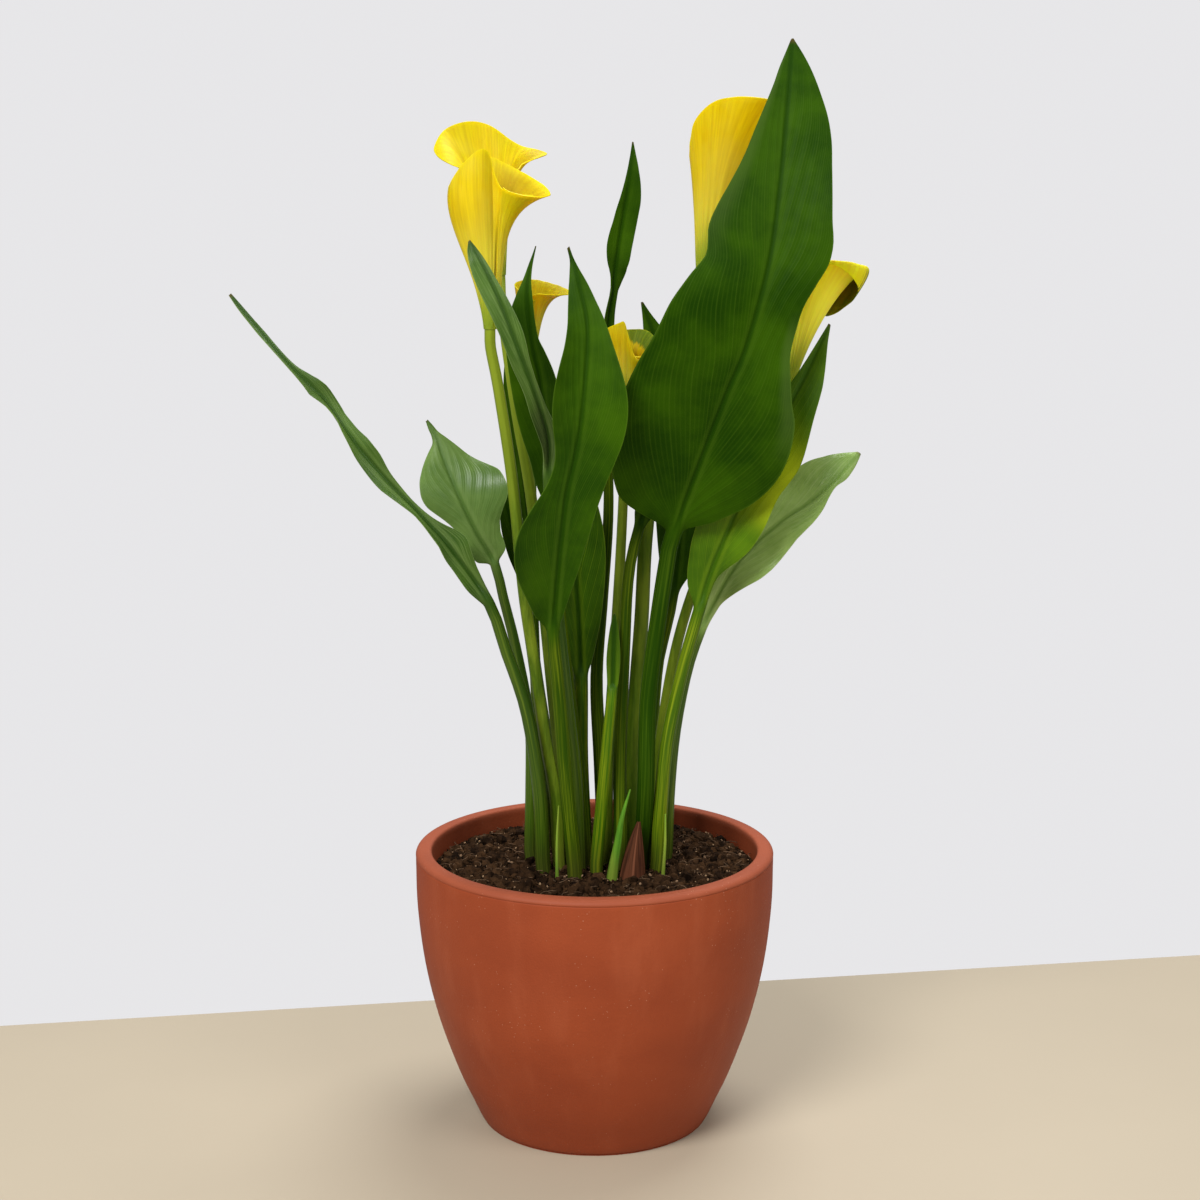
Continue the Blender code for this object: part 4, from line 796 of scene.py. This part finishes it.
        "wide": [(0, 4, 4), (0.3, 8.6, 13), (0.6, 11, 17), (0.85, 7, 11), (1, 0.4, 0.4)],
    },
    "leaf_young": {
        "look": "brightLeaf", "slot": "leaf_light", "stand": (1, -16), "stalk": (3.4, 2.6), "join": 2,
        "wave": (0.0, 1.0, 0.0), "cup": [(0, 20), (1, 16)],
        "path": [(4, -20, 176), (7, -24, 212), (9, -25, 234), (9.5, -25, 250), (10, -24, 272)],
        "wide": [(0, 2.6, 2.6), (0.4, 3.6, 3.6), (0.8, 2.2, 2.2), (1, 0.4, 0.4)],
    },
}


def leafFinish(name, look):
    f = Finish(name, {"Specular IOR Level": look["shine"]})
    across, along, under, reach = (f.read(key) for key in ("across", "along", "under", "reach"))
    out = across.math("ABSOLUTE")
    flow = along - out ** 0.6 * leafForm["veinSweep"] - out ** 4.0 * leafForm["veinDroop"]
    blade = f.step(along, -0.01, 0.05)
    veins = f.lines(flow, look["veins"], 0.13) * f.step(out, 0.02, 0.10) * blade
    fine = f.lines(flow, look["veins"] * 4.0, 0.5) * blade
    cloud = f.noise(f.place(), 30.0, 4.0)
    grain = f.noise(f.place(), 700.0, 2.0)
    streaks = f.noise(f.spot(across * 7.0, along * 1.6, look["veins"]), 1.0, 4.0)
    # Partly a real whitish waxy bloom, partly painted sheen: pale streaks along the veins stand in for highlights.
    waxSheenStreaks = f.step(f.noise(f.spot(across * 1.5, flow * 9.0), 3.0), 0.42, 0.72) * look["waxSheen"] * blade
    lit = f.step(f.noise(f.place(), 12.0), 0.28, 0.6) * f.step(along, 0.72, 0.52) * f.step(along, 0.28, 0.42)
    flank = f.step(reach, 0.0042, 0.0026) * f.step(reach, 0.0009, 0.0021) * blade
    # Painted shade: the midrib groove is darkened where shade falls in it.
    groove = f.step(reach, 0.0018, 0.0004) * blade
    margin = f.step(out, 0.972, 0.995) * blade
    strip = f.step(across, -0.6, -0.93) * f.step(along, 0.5, 0.68)
    strip = strip + f.step(across, 0.72, 0.9) * f.step(along, 0.2, 0.3) * f.step(along, 0.5, 0.42)
    colour = f.paint(
        f.tint(f.step(cloud, 0.32, 0.70), look["dark"], look["mid"]),
        (fine * 0.15 * (1.0 - under), look["vein"]),
        (under * 0.75, look["under"]),
        (waxSheenStreaks, look["vein"]),
        (lit * blade * look["lime"], leafForm["lit"]),
        (veins * look["show"], look["vein"]),
        (flank * 0.3 * (1.0 - along), look["vein"]),
        (groove * 0.7, look["dark"]),
        (margin * 0.5, look["vein"]),
        (strip * look["edge"], look["pale"]),
        (1.0 - f.step(along, -0.08, 0.04), f.tint(f.step(streaks, 0.40, 0.70), look["stalk"], look["streak"])),
        (f.step(f.level(), *leafForm["heelBand"]) * 0.45, leafForm["heel"]),
        (f.step(along, 0.986, 1.0) * 0.6, leafForm["dry"]))
    rough = cloud * 0.16 + grain * 0.05 + look["gloss"] - 0.1 - waxSheenStreaks * 0.05
    height = fine * 0.3 + veins * 0.45 + grain * 0.12 - groove * 0.8 + streaks * (1.0 - blade) * 0.8
    return f.done(colour, rough, height, 0.35)


def leafMesh(name, leaf, veins):
    form, cols = leafForm, leafForm["cols"]
    points = [stalkTop(leaf["stand"])] + [Vector(p) for p in leaf["path"]]
    join, last = leaf["join"] + 1, len(points) - 1
    stalkRows, bladeRows = splineLength(points, 0, join), splineLength(points, join, last)
    count = round(stalkRows[-1][0] / form["stalkStep"])
    stations = [(atShare(stalkRows, k / count), k / count - 1.0) for k in range(count)]
    ease = form["ease"]
    for k in range(form["bladeRows"]):
        share = k / (form["bladeRows"] - 1)
        share = (1.0 - ease) * share + ease * (0.5 - 0.5 * math.cos(math.pi * share))  # closer at both ends
        stations.append((atShare(bladeRows, share), share))
    foot = stalkFoot(leaf["stand"])
    line = np.linspace(-1.0, 1.0, cols)
    q = np.sign(line) * np.abs(line) ** form["crowd"]  # closer together at the midrib
    out, sign = np.abs(q), np.sign(q)
    size, beats, phase = leaf["wave"]
    seed = sum(ord(c) for c in name) * 0.37
    first, end = leaf["stalk"]
    top, low, along, reach = [], [], [], []
    for k, (u, share) in enumerate(stations):
        s = max(0.0, share)
        here, side, face, ahead = crossFrame(points, u, tableAt(leaf["turn"], s)[0])
        if k == 0:
            ahead = (points[0] - foot).normalized()
            side, face = squareTo(side, ahead)
        radius = first + (end - first) * min(1.0, share + 1.0)
        left, right = (max(form["slimmest"], v) for v in softTableAt(leaf["wide"], s))
        cup = tableAt(leaf["cup"], s)[0] * min(1.0, 0.15 + (1.0 - s) / 0.1)
        blend = float(smooth((share + 0.02) / 0.10))  # from a round stalk to a flat blade
        back = leaf["lobe"] * max(0.0, 1.0 - s / form["lobeReach"]) * blend
        half = np.where(q < 0, left, right)
        slope = np.radians(cup + leaf["curl"] * out)
        mean = np.radians(cup + leaf["curl"] * out * 0.5)
        x, y = sign * half * out * np.cos(mean), half * out * np.sin(mean)
        y = y + size * out * out * np.sin(2 * math.pi * (beats * s + phase + form["waveLag"] * sign))
        edge = np.array([noise.noise(Vector((s * form["ripples"], seed + 3.0 * v, 0.0))) for v in sign])
        y = y + form["ripple"] * edge * out ** 3 * min(1.0, half.mean() / form["rippleWide"])
        flow = s - form["veinSweep"] * out ** 0.6 - form["veinDroop"] * out ** 4
        tip = smooth((1.0 - s) / form["tip"])
        fade = smooth(s / 0.08) * tip * smooth(out / 0.10) * (1.0 - out ** 8)
        deep = form["corrugate"] * min(1.0, half.mean() / form["corrugateWide"])
        y = y + deep * fade * np.cos(2 * math.pi * veins * flow)
        nx, ny = -sign * np.sin(slope), np.cos(slope)
        nx, ny = np.where(out == 0.0, 0.0, nx), np.where(out == 0.0, 1.0, ny)
        far = half * out
        rib = radius * (1.0 - s) ** form["ribTaper"]
        thin = form["thick"] / 2 * (1.0 - form["edgeThin"] * out ** 6)
        up = thin - form["groove"] * np.exp(-(far / form["grooveWide"]) ** 2) * tip
        down = thin + rib * form["ribDeep"] * np.exp(-(far / (0.6 + rib * 0.7)) ** 2)
        a = line * math.pi / 2 * (0.88 + 0.12 * (1.0 - blend))
        slide = np.outer(-back * out * out, ahead)
        for sheet, way, rows in ((up, 1.0, top), (-down, -1.0, low)):
            sx = radius * np.sin(a) * (1.0 - blend) + (x + nx * sheet) * blend
            sy = radius * way * np.cos(a) * (1.0 - blend) + (y + ny * sheet) * blend
            row = np.array(here) + np.outer(sx, side) + np.outer(sy, face) + slide
            if k == 0:
                rows.append(row + np.array(foot - points[0]))
            rows.append(row)
        for rows, value in ((along, np.full(cols, share)), (reach, far * mm)):
            rows += [value, value] if k == 0 else [value]
    top, low, along, reach = (np.array(rows) for rows in (top, low, along, reach))
    return closedSheet(name, top, low, {"across": q, "along": along, "reach": reach, "under": (0.0, 1.0)})


def makeLeaves():
    looks = {key: {**leafLook, **own} for key, own in leafLooks.items()}
    finishes = {key: leafFinish(key, look) for key, look in looks.items()}
    for name, own in leaves.items():
        leaf = {**leafBase, **own}
        mesh = leafMesh(name, leaf, looks[leaf["look"]]["veins"])
        addPiece(name + "_grown", mesh, finishes[leaf["look"]], leaf["slot"], name)


makeLeaves()
print("leaves grown")


# Blooms: a ribbed stem, a wrapped spathe and a spadix of small florets.

bloomForm = {"cols": 133, "rows": 46, "thick": 1.0, "overlap": 18.0, "lift": 1.0, "sink": 4.0, "flare": 2.2,
             "belly": 0.6, "pleat": 0.10, "pleats": 17.0, "edge": 0.45, "heel": 0.15, "heelLong": 0.2, "steps": 90,
             "neck": 7.0}
stemForm = {"Sides": 28, "Ribs": 7.0, "Deep": 0.045}
spadixForm = {"Long": 0.03, "Radius": 0.0024, "Florets": 420, "Floret": 0.00062, "Turn": 2.39996}
bloomBase = {"wrap": 1.0, "green": 0.0, "greenSide": 0, "sheetLight": "deep"}
# rim: a direction in degrees, then radius and height where the spathe opens, then of its margin.
blooms = {
    "bloom_front": {
        "stand": (-18, -7), "stalk": (3.4, 2.7), "axis": (0.0, 0.0, 1), "seam": 325, "wrap": -1.0, "spadix": 34,
        "margin": (1.0, 0.96, 40, 60),
        "path": [(-20, -10, 173), (-25, -15, 206), (-31, -22, 253), (-35, -28, 285), (-40, -33, 340),
            (-46, -38, 384), (-49.5, -41, 404), (-49.8, -42.5, 418)],
        "rim": [(0, 4, 58, 29, 64), (20, 5, 60, 26, 69), (45, 8, 62, 19, 75), (90, 10, 64, 13, 81),
            (135, 15, 60, 15, 79), (180, 23, 50, 19, 67), (215, 21, 55, 15, 77), (250, 15, 61, 11, 84),
            (270, 11, 61, 8, 83), (288, 7, 56, 7, 77), (307, 5, 50, 11, 67), (325, 4, 52, 18, 64),
            (340, 4, 54, 24, 63)],
    },
    "bloom_back": {
        "stand": (-14, 2), "stalk": (3.4, 2.6), "axis": (-0.04, 0.06, 1), "seam": 290, "spadix": 36,
        "margin": (0.75, 0.85, 60, 40),
        "path": [(-16, 1, 174), (-21, 0, 222), (-26, -6, 276), (-32, -12, 332), (-38, -13, 368), (-43, -10, 402),
            (-46, -3, 424), (-47, 4, 442)],
        "rim": [(0, 8, 46, 15, 54), (25, 7, 66, 28, 59), (50, 9, 54, 19, 64), (90, 10, 56, 14, 73),
            (130, 18, 56, 19, 77), (160, 21, 66, 26, 73), (185, 18, 70, 30, 62), (215, 16, 54, 24, 54),
            (260, 9, 38, 13, 50), (300, 8, 36, 12, 48), (330, 8, 40, 13, 50)],
    },
    "bloom_left": {
        "stand": (-11, 24), "stalk": (3.3, 2.5), "axis": (0.06, -0.03, 1), "seam": 262, "spadix": 22,
        "margin": (0.8, 0.85, 50, 40),
        "path": [(-11, 23, 184), (-14, 20, 239), (-20, 16, 293), (-26, 12, 345), (-31, 9, 378), (-32.5, 8, 401)],
        "rim": [(0, 5, 31, 19, 33), (45, 6, 32, 15, 36), (90, 7, 34, 11, 38), (150, 7, 30, 9, 37),
            (200, 7, 29, 8.5, 35), (250, 6, 28, 9, 33), (290, 6, 28, 11, 32), (330, 5, 31, 17, 32)],
    },
    "bloom_centre": {
        "stand": (6, -1), "stalk": (3.3, 2.3), "axis": (0.0, -0.03, 1), "seam": 288, "spadix": 16,
        "margin": (0.85, 0.95, 40, 30), "green": 0.9, "greenSide": 40,
        "path": [(7, -2, 191), (10, -5, 244), (13, -8, 296), (15, -10, 342), (16, -10, 382)],
        "rim": [(0, 8, 20, 16, 24), (45, 8, 25, 15, 32), (90, 8, 25, 11, 33), (150, 8, 24, 10, 34),
            (200, 8, 25, 10, 35), (245, 7, 26, 8, 38), (262, 7, 26, 7, 38), (278, 6, 22, 7, 30),
            (295, 7, 18, 9, 22), (330, 7, 17, 14, 21)],
    },
    "bloom_upper": {
        "stand": (18, 10), "stalk": (4.4, 3), "axis": (0.08, -0.02, 1), "seam": 50, "spadix": 38,
        "margin": (0.75, 0.8, 60, 50),
        "path": [(19, 9, 183), (21, 8, 220), (24, 8, 263), (26, 8, 304), (31, 6, 350), (39, 4, 391), (49, 2, 424),
            (54, 0, 440)],
        "rim": [(0, 14, 62, 42, 74), (40, 10, 50, 26, 60), (90, 8, 42, 12, 52), (140, 8, 40, 11, 53),
            (180, 8, 42, 12, 60), (200, 8, 46, 13, 67), (225, 8, 52, 15, 77), (250, 8, 58, 15, 84),
            (280, 9, 62, 19, 88), (310, 13, 66, 32, 89), (335, 15, 66, 40, 84)],
    },
    "bloom_right": {
        "stand": (31, 15), "stalk": (3.2, 2.3), "axis": (0.16, -0.03, 1), "seam": 180, "spadix": 24,
        "margin": (0.85, 0.85, 40, 40), "green": 1.0, "greenSide": 30, "sheetLight": "light",
        "path": [(33, 14, 182), (36, 14, 211), (42, 14, 246), (50, 14, 275), (60, 12, 301), (75, 8, 335),
            (87, 3, 362), (97, -2, 384)],
        "rim": [(0, 42, 88, 22, 48), (30, 38, 84, 16, 40), (60, 28, 74, 15, 44), (90, 14, 60, 14, 52),
            (120, 8, 48, 11, 53), (155, 6, 40, 7, 47), (205, 6, 40, 7, 47), (240, 8, 50, 11, 56),
            (270, 13, 64, 17, 66), (300, 26, 78, 24, 66), (330, 38, 86, 27, 58)],
    },
}
bloomLooks = {
    "gold": (0.47, 0.340, 0.001), "bright": (0.63, 0.49, 0.002), "pale": (0.66, 0.58, 0.06),
    "throat": (0.30, 0.19, 0.003), "foot": (0.30, 0.37, 0.03), "tip": (0.045, 0.105, 0.004), "rough": 0.45,
    "stem": (0.092, 0.165, 0.006), "stemLight": (0.230, 0.300, 0.018), "stemDark": (0.040, 0.088, 0.003),
    "stemRough": 0.36, "lightBand": (0.28, 0.40), "heelBand": (0.158, 0.136),
    "spadix": (0.78, 0.42, 0.02), "spadixDark": (0.42, 0.17, 0.01),
    "glow": {"Subsurface Weight": 0.5, "Subsurface Radius": (0.004, 0.0025, 0.0006), "Subsurface Scale": 1.0},
}


def spatheFinish(name, light):
    look = bloomLooks
    # light brightens the colours; above 1 it paints in light that the sheet does not get.
    gold, bright, pale = (tuple(min(0.95, c * light) for c in look[key]) for key in ("gold", "bright", "pale"))
    f = Finish(name, {"Specular IOR Level": 0.06, **look["glow"]})
    around, high, inner, green = (f.read(key) for key in ("around", "high", "inner", "green"))
    ribs = f.noise(f.spot(around * 90.0, high * 2.2), 1.0, 4.0)
    hairs = f.noise(f.spot(around * 190.0, high * 5.0), 1.0, 2.0)
    cloud = f.noise(f.place(), 34.0)
    outer, sway = 1.0 - inner, ribs - 0.5
    # Painted shade: the inner face next to the seam is darkened where the overlapping flap shades it.
    fold = inner * f.step(around, 0.38, 0.24) * f.step(high, 1.0, 0.9)
    colour = f.paint(
        f.tint(f.step(ribs, 0.28, 0.76), gold, bright),
        (outer * f.step(high, 0.80, 0.25) * 0.65, pale),
        (f.step(cloud, 0.42, 0.7) * 0.25, pale),
        # Partly the throat's own darker golden colour, partly painted shade deep in the funnel where light does not
        # reach.
        (inner * f.step(high, 0.62, 0.25) * 0.85, look["throat"]),
        (fold * 0.6, look["throat"]),
        (outer * f.step(high + sway * 0.25, 0.36, 0.06) * 0.9, look["foot"]),
        (outer * f.step(high + sway * 0.1, 0.24, 0.02) * 0.95, look["stemLight"]),
        (f.step(hairs, 0.5, 0.8) * 0.16, gold),
        # Painted highlight: the rim is lightened where it rolls over and catches the light.
        (f.step(high, 0.955, 0.99) * 0.5, bright),
        (f.step(green + sway * 0.9, 0.30, 0.55) * 0.95, f.tint(f.step(ribs, 0.35, 0.7), look["tip"], look["stem"])))
    return f.done(colour, cloud * 0.1 + look["rough"], hairs * 0.5 + ribs * 0.8, 0.3)


def stemFinish(name, dark, mid, light):
    f = Finish(name, {"Specular IOR Level": 0.15})
    streaks = f.noise(f.place((1.0, 1.0, 0.03)), 620.0, 4.0, 0.65)
    blotch = f.noise(f.place((1.0, 1.0, 0.2)), 95.0, 4.0)
    level, grain = f.level(), f.noise(f.place(), 900.0, 2.0)
    colour = f.paint(
        f.tint(f.step(streaks, 0.30, 0.74), dark, mid),
        (f.step(blotch, 0.34, 0.78) * 0.8, light),
        (f.step(level, *bloomLooks["lightBand"]) * 0.85, light),
        (f.step(level, *bloomLooks["heelBand"]) * 0.4, leafForm["heel"]))
    return f.done(colour, blotch * 0.12 + bloomLooks["stemRough"], streaks + grain * 0.3, 0.35)


def spadixFinish():
    f = Finish("spadixOrange", {"Specular IOR Level": 0.3})
    cloud = f.noise(f.place(), 420.0)
    colour = f.tint(f.step(cloud, 0.35, 0.7), bloomLooks["spadixDark"], bloomLooks["spadix"])
    return f.done(colour, cloud * 0.15 + 0.6, cloud)


def spatheMesh(name, bloom):
    form, cols, rows = bloomForm, bloomForm["cols"], bloomForm["rows"]
    foot, axis = Vector(bloom["path"][-1]), Vector(bloom["axis"]).normalized()
    east, south = squareTo(Vector((1, 0, 0)), axis)
    start = bloom["stalk"][1] + build["fitGap"]
    low, high, lowFade, highFade = bloom["margin"]
    lap, flare, belly = form["overlap"], form["flare"], form["belly"]
    grid = np.zeros((rows + 1, cols, 3))
    around, tall, green = (np.zeros((rows + 1, cols)) for _ in range(3))
    for j in range(cols):
        turn = -lap + (360.0 + 2 * lap) * j / (cols - 1)
        side = bloom["seam"] + turn
        r2, h2, r3, h3 = ringTableAt(bloom["rim"], side)
        reach = low + (1.0 - low) * smooth((turn + lap) / lowFade)
        reach = reach * (high + (1.0 - high) * smooth((360.0 + lap - turn) / highFade))
        a = math.radians(side)
        out = east * math.cos(a) - south * math.sin(a)
        lift = form["lift"] * bloom["wrap"] * (turn - 180.0) / 180.0
        # A cubic from foot to rim: radius, height and how both change along it.
        t = reach * np.linspace(0.0, 1.0, rows + 1)
        k = 1.0 - t
        r = k ** 3 * start + 3 * k * k * t * (start + flare) + 3 * k * t * t * r2 + t ** 3 * r3
        h = 3 * k * k * t * h2 * belly + 3 * k * t * t * h2 + t ** 3 * h3
        dr = 3 * k * k * flare + 6 * k * t * (r2 - start - flare) + 3 * t * t * (r3 - r2)
        dh = 3 * k * k * h2 * belly + 6 * k * t * h2 * (1.0 - belly) + 3 * t * t * (h3 - h2)
        long = np.hypot(dr, dh)
        rise = lift * (0.2 + 0.8 * smooth(t / 0.2)) + form["pleat"] * math.sin(a * form["pleats"]) * smooth(t / 0.3)
        r, h = r + dh / long * rise, h - dr / long * rise
        grid[:, j] = np.array(foot) + np.outer(r, out) + np.outer(h - form["sink"], axis)
        around[:, j], tall[:, j] = j / (cols - 1), t
        facing = max(0.0, math.cos(math.radians(side - bloom["greenSide"])))
        green[:, j] = bloom["green"] * facing ** 1.5 * smooth((t - 0.55) / 0.35)
    heel = form["heel"] + (1.0 - form["heel"]) * smooth(tall / form["heelLong"])
    body = heel * (1.0 - form["edge"] * smooth((tall - 0.5) / 0.5))
    return thickSheet(name, grid, form["thick"] * body[..., None] / 2,
                      {"around": around, "high": tall, "inner": (0.0, 1.0), "green": green})


def stemTree():
    tree = Maker("ribbedStem", stemForm)
    turn = tree.node("GeometryNodeSplineParameter", out="Factor") * (2 * math.pi)
    swell = (turn * tree.take("Ribs")).math("SINE") * tree.take("Deep") + 1.0 - tree.take("Deep")
    pushed = tree.vector("SCALE", tree.node("GeometryNodeInputPosition"), swell)
    ribbed = tree.moved(tree.ring(tree.take("Sides"), mm), pushed, "Position")
    return tree.close(tree.swept(tree.take("Geometry"), ribbed,
                                 {"Scale": tree.node("GeometryNodeInputRadius"), "Fill Caps": True}))


def spadixTree():
    tree = Maker("spadix", spadixForm)
    thick, long = tree.take("Radius"), tree.take("Long")
    dots = tree.node("GeometryNodePoints", {}, {"Count": tree.take("Florets")})
    k = tree.node("GeometryNodeInputIndex")
    share, turn = (k + 0.5) / tree.take("Florets"), k * tree.take("Turn")
    slim = (1.0 - share ** 7.0) * thick * ((share * 8.0).math("MINIMUM", 1.0) * 0.2 + 0.8)
    spiral = tree.spot(turn.math("COSINE") * slim, turn.math("SINE") * slim, share * long)
    beads = tree.node("GeometryNodeInstanceOnPoints", {},
                      {0: tree.moved(dots, spiral, "Position"), "Instance": tree.ball(tree.take("Floret"))})
    core = tree.node("GeometryNodeMeshCone", {}, {
        "Vertices": 20, "Side Segments": 6, "Radius Top": thick * 0.6, "Radius Bottom": thick * 0.86,
        "Depth": long * 0.96})
    both = tree.node("GeometryNodeJoinGeometry", {}, {0: beads})
    tree.tree.links.new(core.socket, both.socket.node.inputs[0])
    return tree.close(both)


def growStem(tree, name, ending, points, ends, mat, slot, node):  # the radius goes evenly from end to end
    last = len(points) - 1
    radii = [ends[0] + (ends[1] - ends[0]) * k / last for k in range(last + 1)]
    mesh = tree.run(lineHost(name + "_line", points, radii), name + ending, mat)
    addPiece(name + ending, mesh, mat, slot, node)


def makeBlooms():
    # Painted light: the second spathe finish has the same colours brightened 1.75 times, for bloom_right, which lies
    # in the shade of leaf_tall.
    sheets = {"deep": spatheFinish("spatheYellow", 1.0), "light": spatheFinish("spatheLight", 1.75)}
    spadixMat = spadixFinish()
    stemMat = stemFinish("scapeGreen", bloomLooks["stemDark"], bloomLooks["stem"], bloomLooks["stemLight"])
    stems, florets = stemTree(), spadixTree()
    for name, own in blooms.items():
        bloom = {**bloomBase, **own}
        top, axis = Vector(bloom["path"][-1]), Vector(bloom["axis"]).normalized()
        guide = [Vector(p) for p in bloom["path"][:-1]]
        guide = [stalkTop(bloom["stand"]), *guide, top - axis * bloomForm["neck"]]
        points = [stalkFoot(bloom["stand"]), *evenPoints(guide, bloomForm["steps"]), top]
        growStem(stems, name, "_stem", points, bloom["stalk"], stemMat, "scape_green", name + "_scape")
        addPiece(name + "_trumpet", spatheMesh(name + "_trumpet", bloom), sheets[bloom["sheetLight"]], "spathe_yellow",
                 name + "_spathe")
        host = lineHost(name + "_host", [(0, 0, 0), (0, 0, 1)])
        rod = florets.run(host, name + "_florets", spadixMat, {"Long": bloom["spadix"] * mm})
        seat = (top + axis * build["fitGap"]) * mm
        rod.transform(Matrix.Translation(seat) @ axis.to_track_quat("Z", "Y").to_matrix().to_4x4())
        addPiece(name + "_florets", rod, spadixMat, "spadix_orange", name + "_spadix")


makeBlooms()
print("blooms open")


# Young shoots, the dry sheath and the tuber.

shoots = {
    "shoot_green": {"ends": (4.0, 0.4), "mat": "green",
                    "path": [(9, -23, 116), (9, -23.5, 134), (12, -26, 155), (14, -28, 168), (18, -30, 183)]},
    "shoot_left": {"ends": (1.2, 0.4), "mat": "yellow",
                   "path": [(-19, -26, 120), (-19, -26, 134), (-19, -27, 155), (-18, -28, 174)]},
    "shoot_right": {"ends": (1.3, 0.4), "mat": "yellow",
                    "path": [(35, -20, 120), (35, -20, 134), (36, -21, 152), (36, -22, 168)]},
}
shootLooks = {
    "dark": (0.070, 0.220, 0.016), "mid": (0.130, 0.340, 0.024), "light": (0.33, 0.44, 0.045),
    "yellowDark": (0.20, 0.30, 0.03), "yellow": (0.42, 0.46, 0.06), "steps": 30,
}
sheath = {
    "stand": (19, -22), "foot": 122.0, "top": 164.0, "wide": 7.0, "thick": 0.8, "rows": 40, "cols": 41,
    "taper": 0.93, "lean": 3.5, "crease": 0.05, "sweep": 234.0,
    "dark": (0.035, 0.012, 0.006), "brown": (0.100, 0.034, 0.016), "rib": (0.25, 0.09, 0.045), "rough": 0.7,
}
tuber = {"dark": (0.09, 0.045, 0.022), "light": (0.22, 0.125, 0.06), "rough": 0.75}


def makeShoots():
    look = shootLooks
    mats = {"green": stemFinish("shootGreen", look["dark"], look["mid"], look["light"]),
            "yellow": stemFinish("shootYellow", look["mid"], look["yellowDark"], look["yellow"])}
    tree = stemTree()
    for name, shoot in shoots.items():
        points = evenPoints([Vector(p) for p in shoot["path"]], look["steps"])
        growStem(tree, name, "_sprout", points, shoot["ends"], mats[shoot["mat"]], "shoot_green", name)


def makeSheath():
    f = Finish("sheathBrown", {"Specular IOR Level": 0.05})
    across, along = f.read("across"), f.read("along")
    ribs = f.noise(f.spot(across * 14.0, along * 1.2), 1.0)
    colour = f.paint(f.tint(f.step(ribs, 0.35, 0.6), sheath["dark"], sheath["brown"]),
                     (f.lines(across, 3.0, 0.22) * 0.6, sheath["rib"]))
    mat = f.done(colour, ribs * 0.1 + sheath["rough"], ribs, 0.6, 0.0006)
    x, y = sheath["stand"]
    share, turn = np.meshgrid(np.linspace(0, 1, sheath["rows"]), np.linspace(-0.5, 0.5, sheath["cols"]),
                              indexing="ij")
    wide = sheath["wide"] * (1.0 - sheath["taper"] * share ** 1.8)
    wide = wide * (1.0 + sheath["crease"] * np.sin(turn * 30.0 + share * 3.0))
    a = np.radians(-90.0 + sheath["sweep"] * turn)
    z = sheath["foot"] + (sheath["top"] - sheath["foot"]) * share
    grid = np.stack([x + sheath["lean"] * share ** 2 + wide * np.cos(a), y + wide * np.sin(a), z], -1)
    mesh = thickSheet("sheathScale", grid, sheath["thick"] / 2, {"across": turn, "along": share})
    addPiece("sheathScale", mesh, mat, "sheath_brown", "dry_sheath")


def dressTuber():
    f = Finish("tuberSkin", {"Specular IOR Level": 0.3})
    cloud = f.noise(f.place(), 120.0, 4.0)
    rings = f.noise(f.place((1.0, 1.0, 6.0)), 90.0)
    dress("tuber", f.done(f.tint(cloud, tuber["dark"], tuber["light"]), cloud * 0.1 + tuber["rough"],
                          rings + cloud, 0.6, 0.0008))


makeShoots()
makeSheath()
dressTuber()
print("shoots and sheath up")
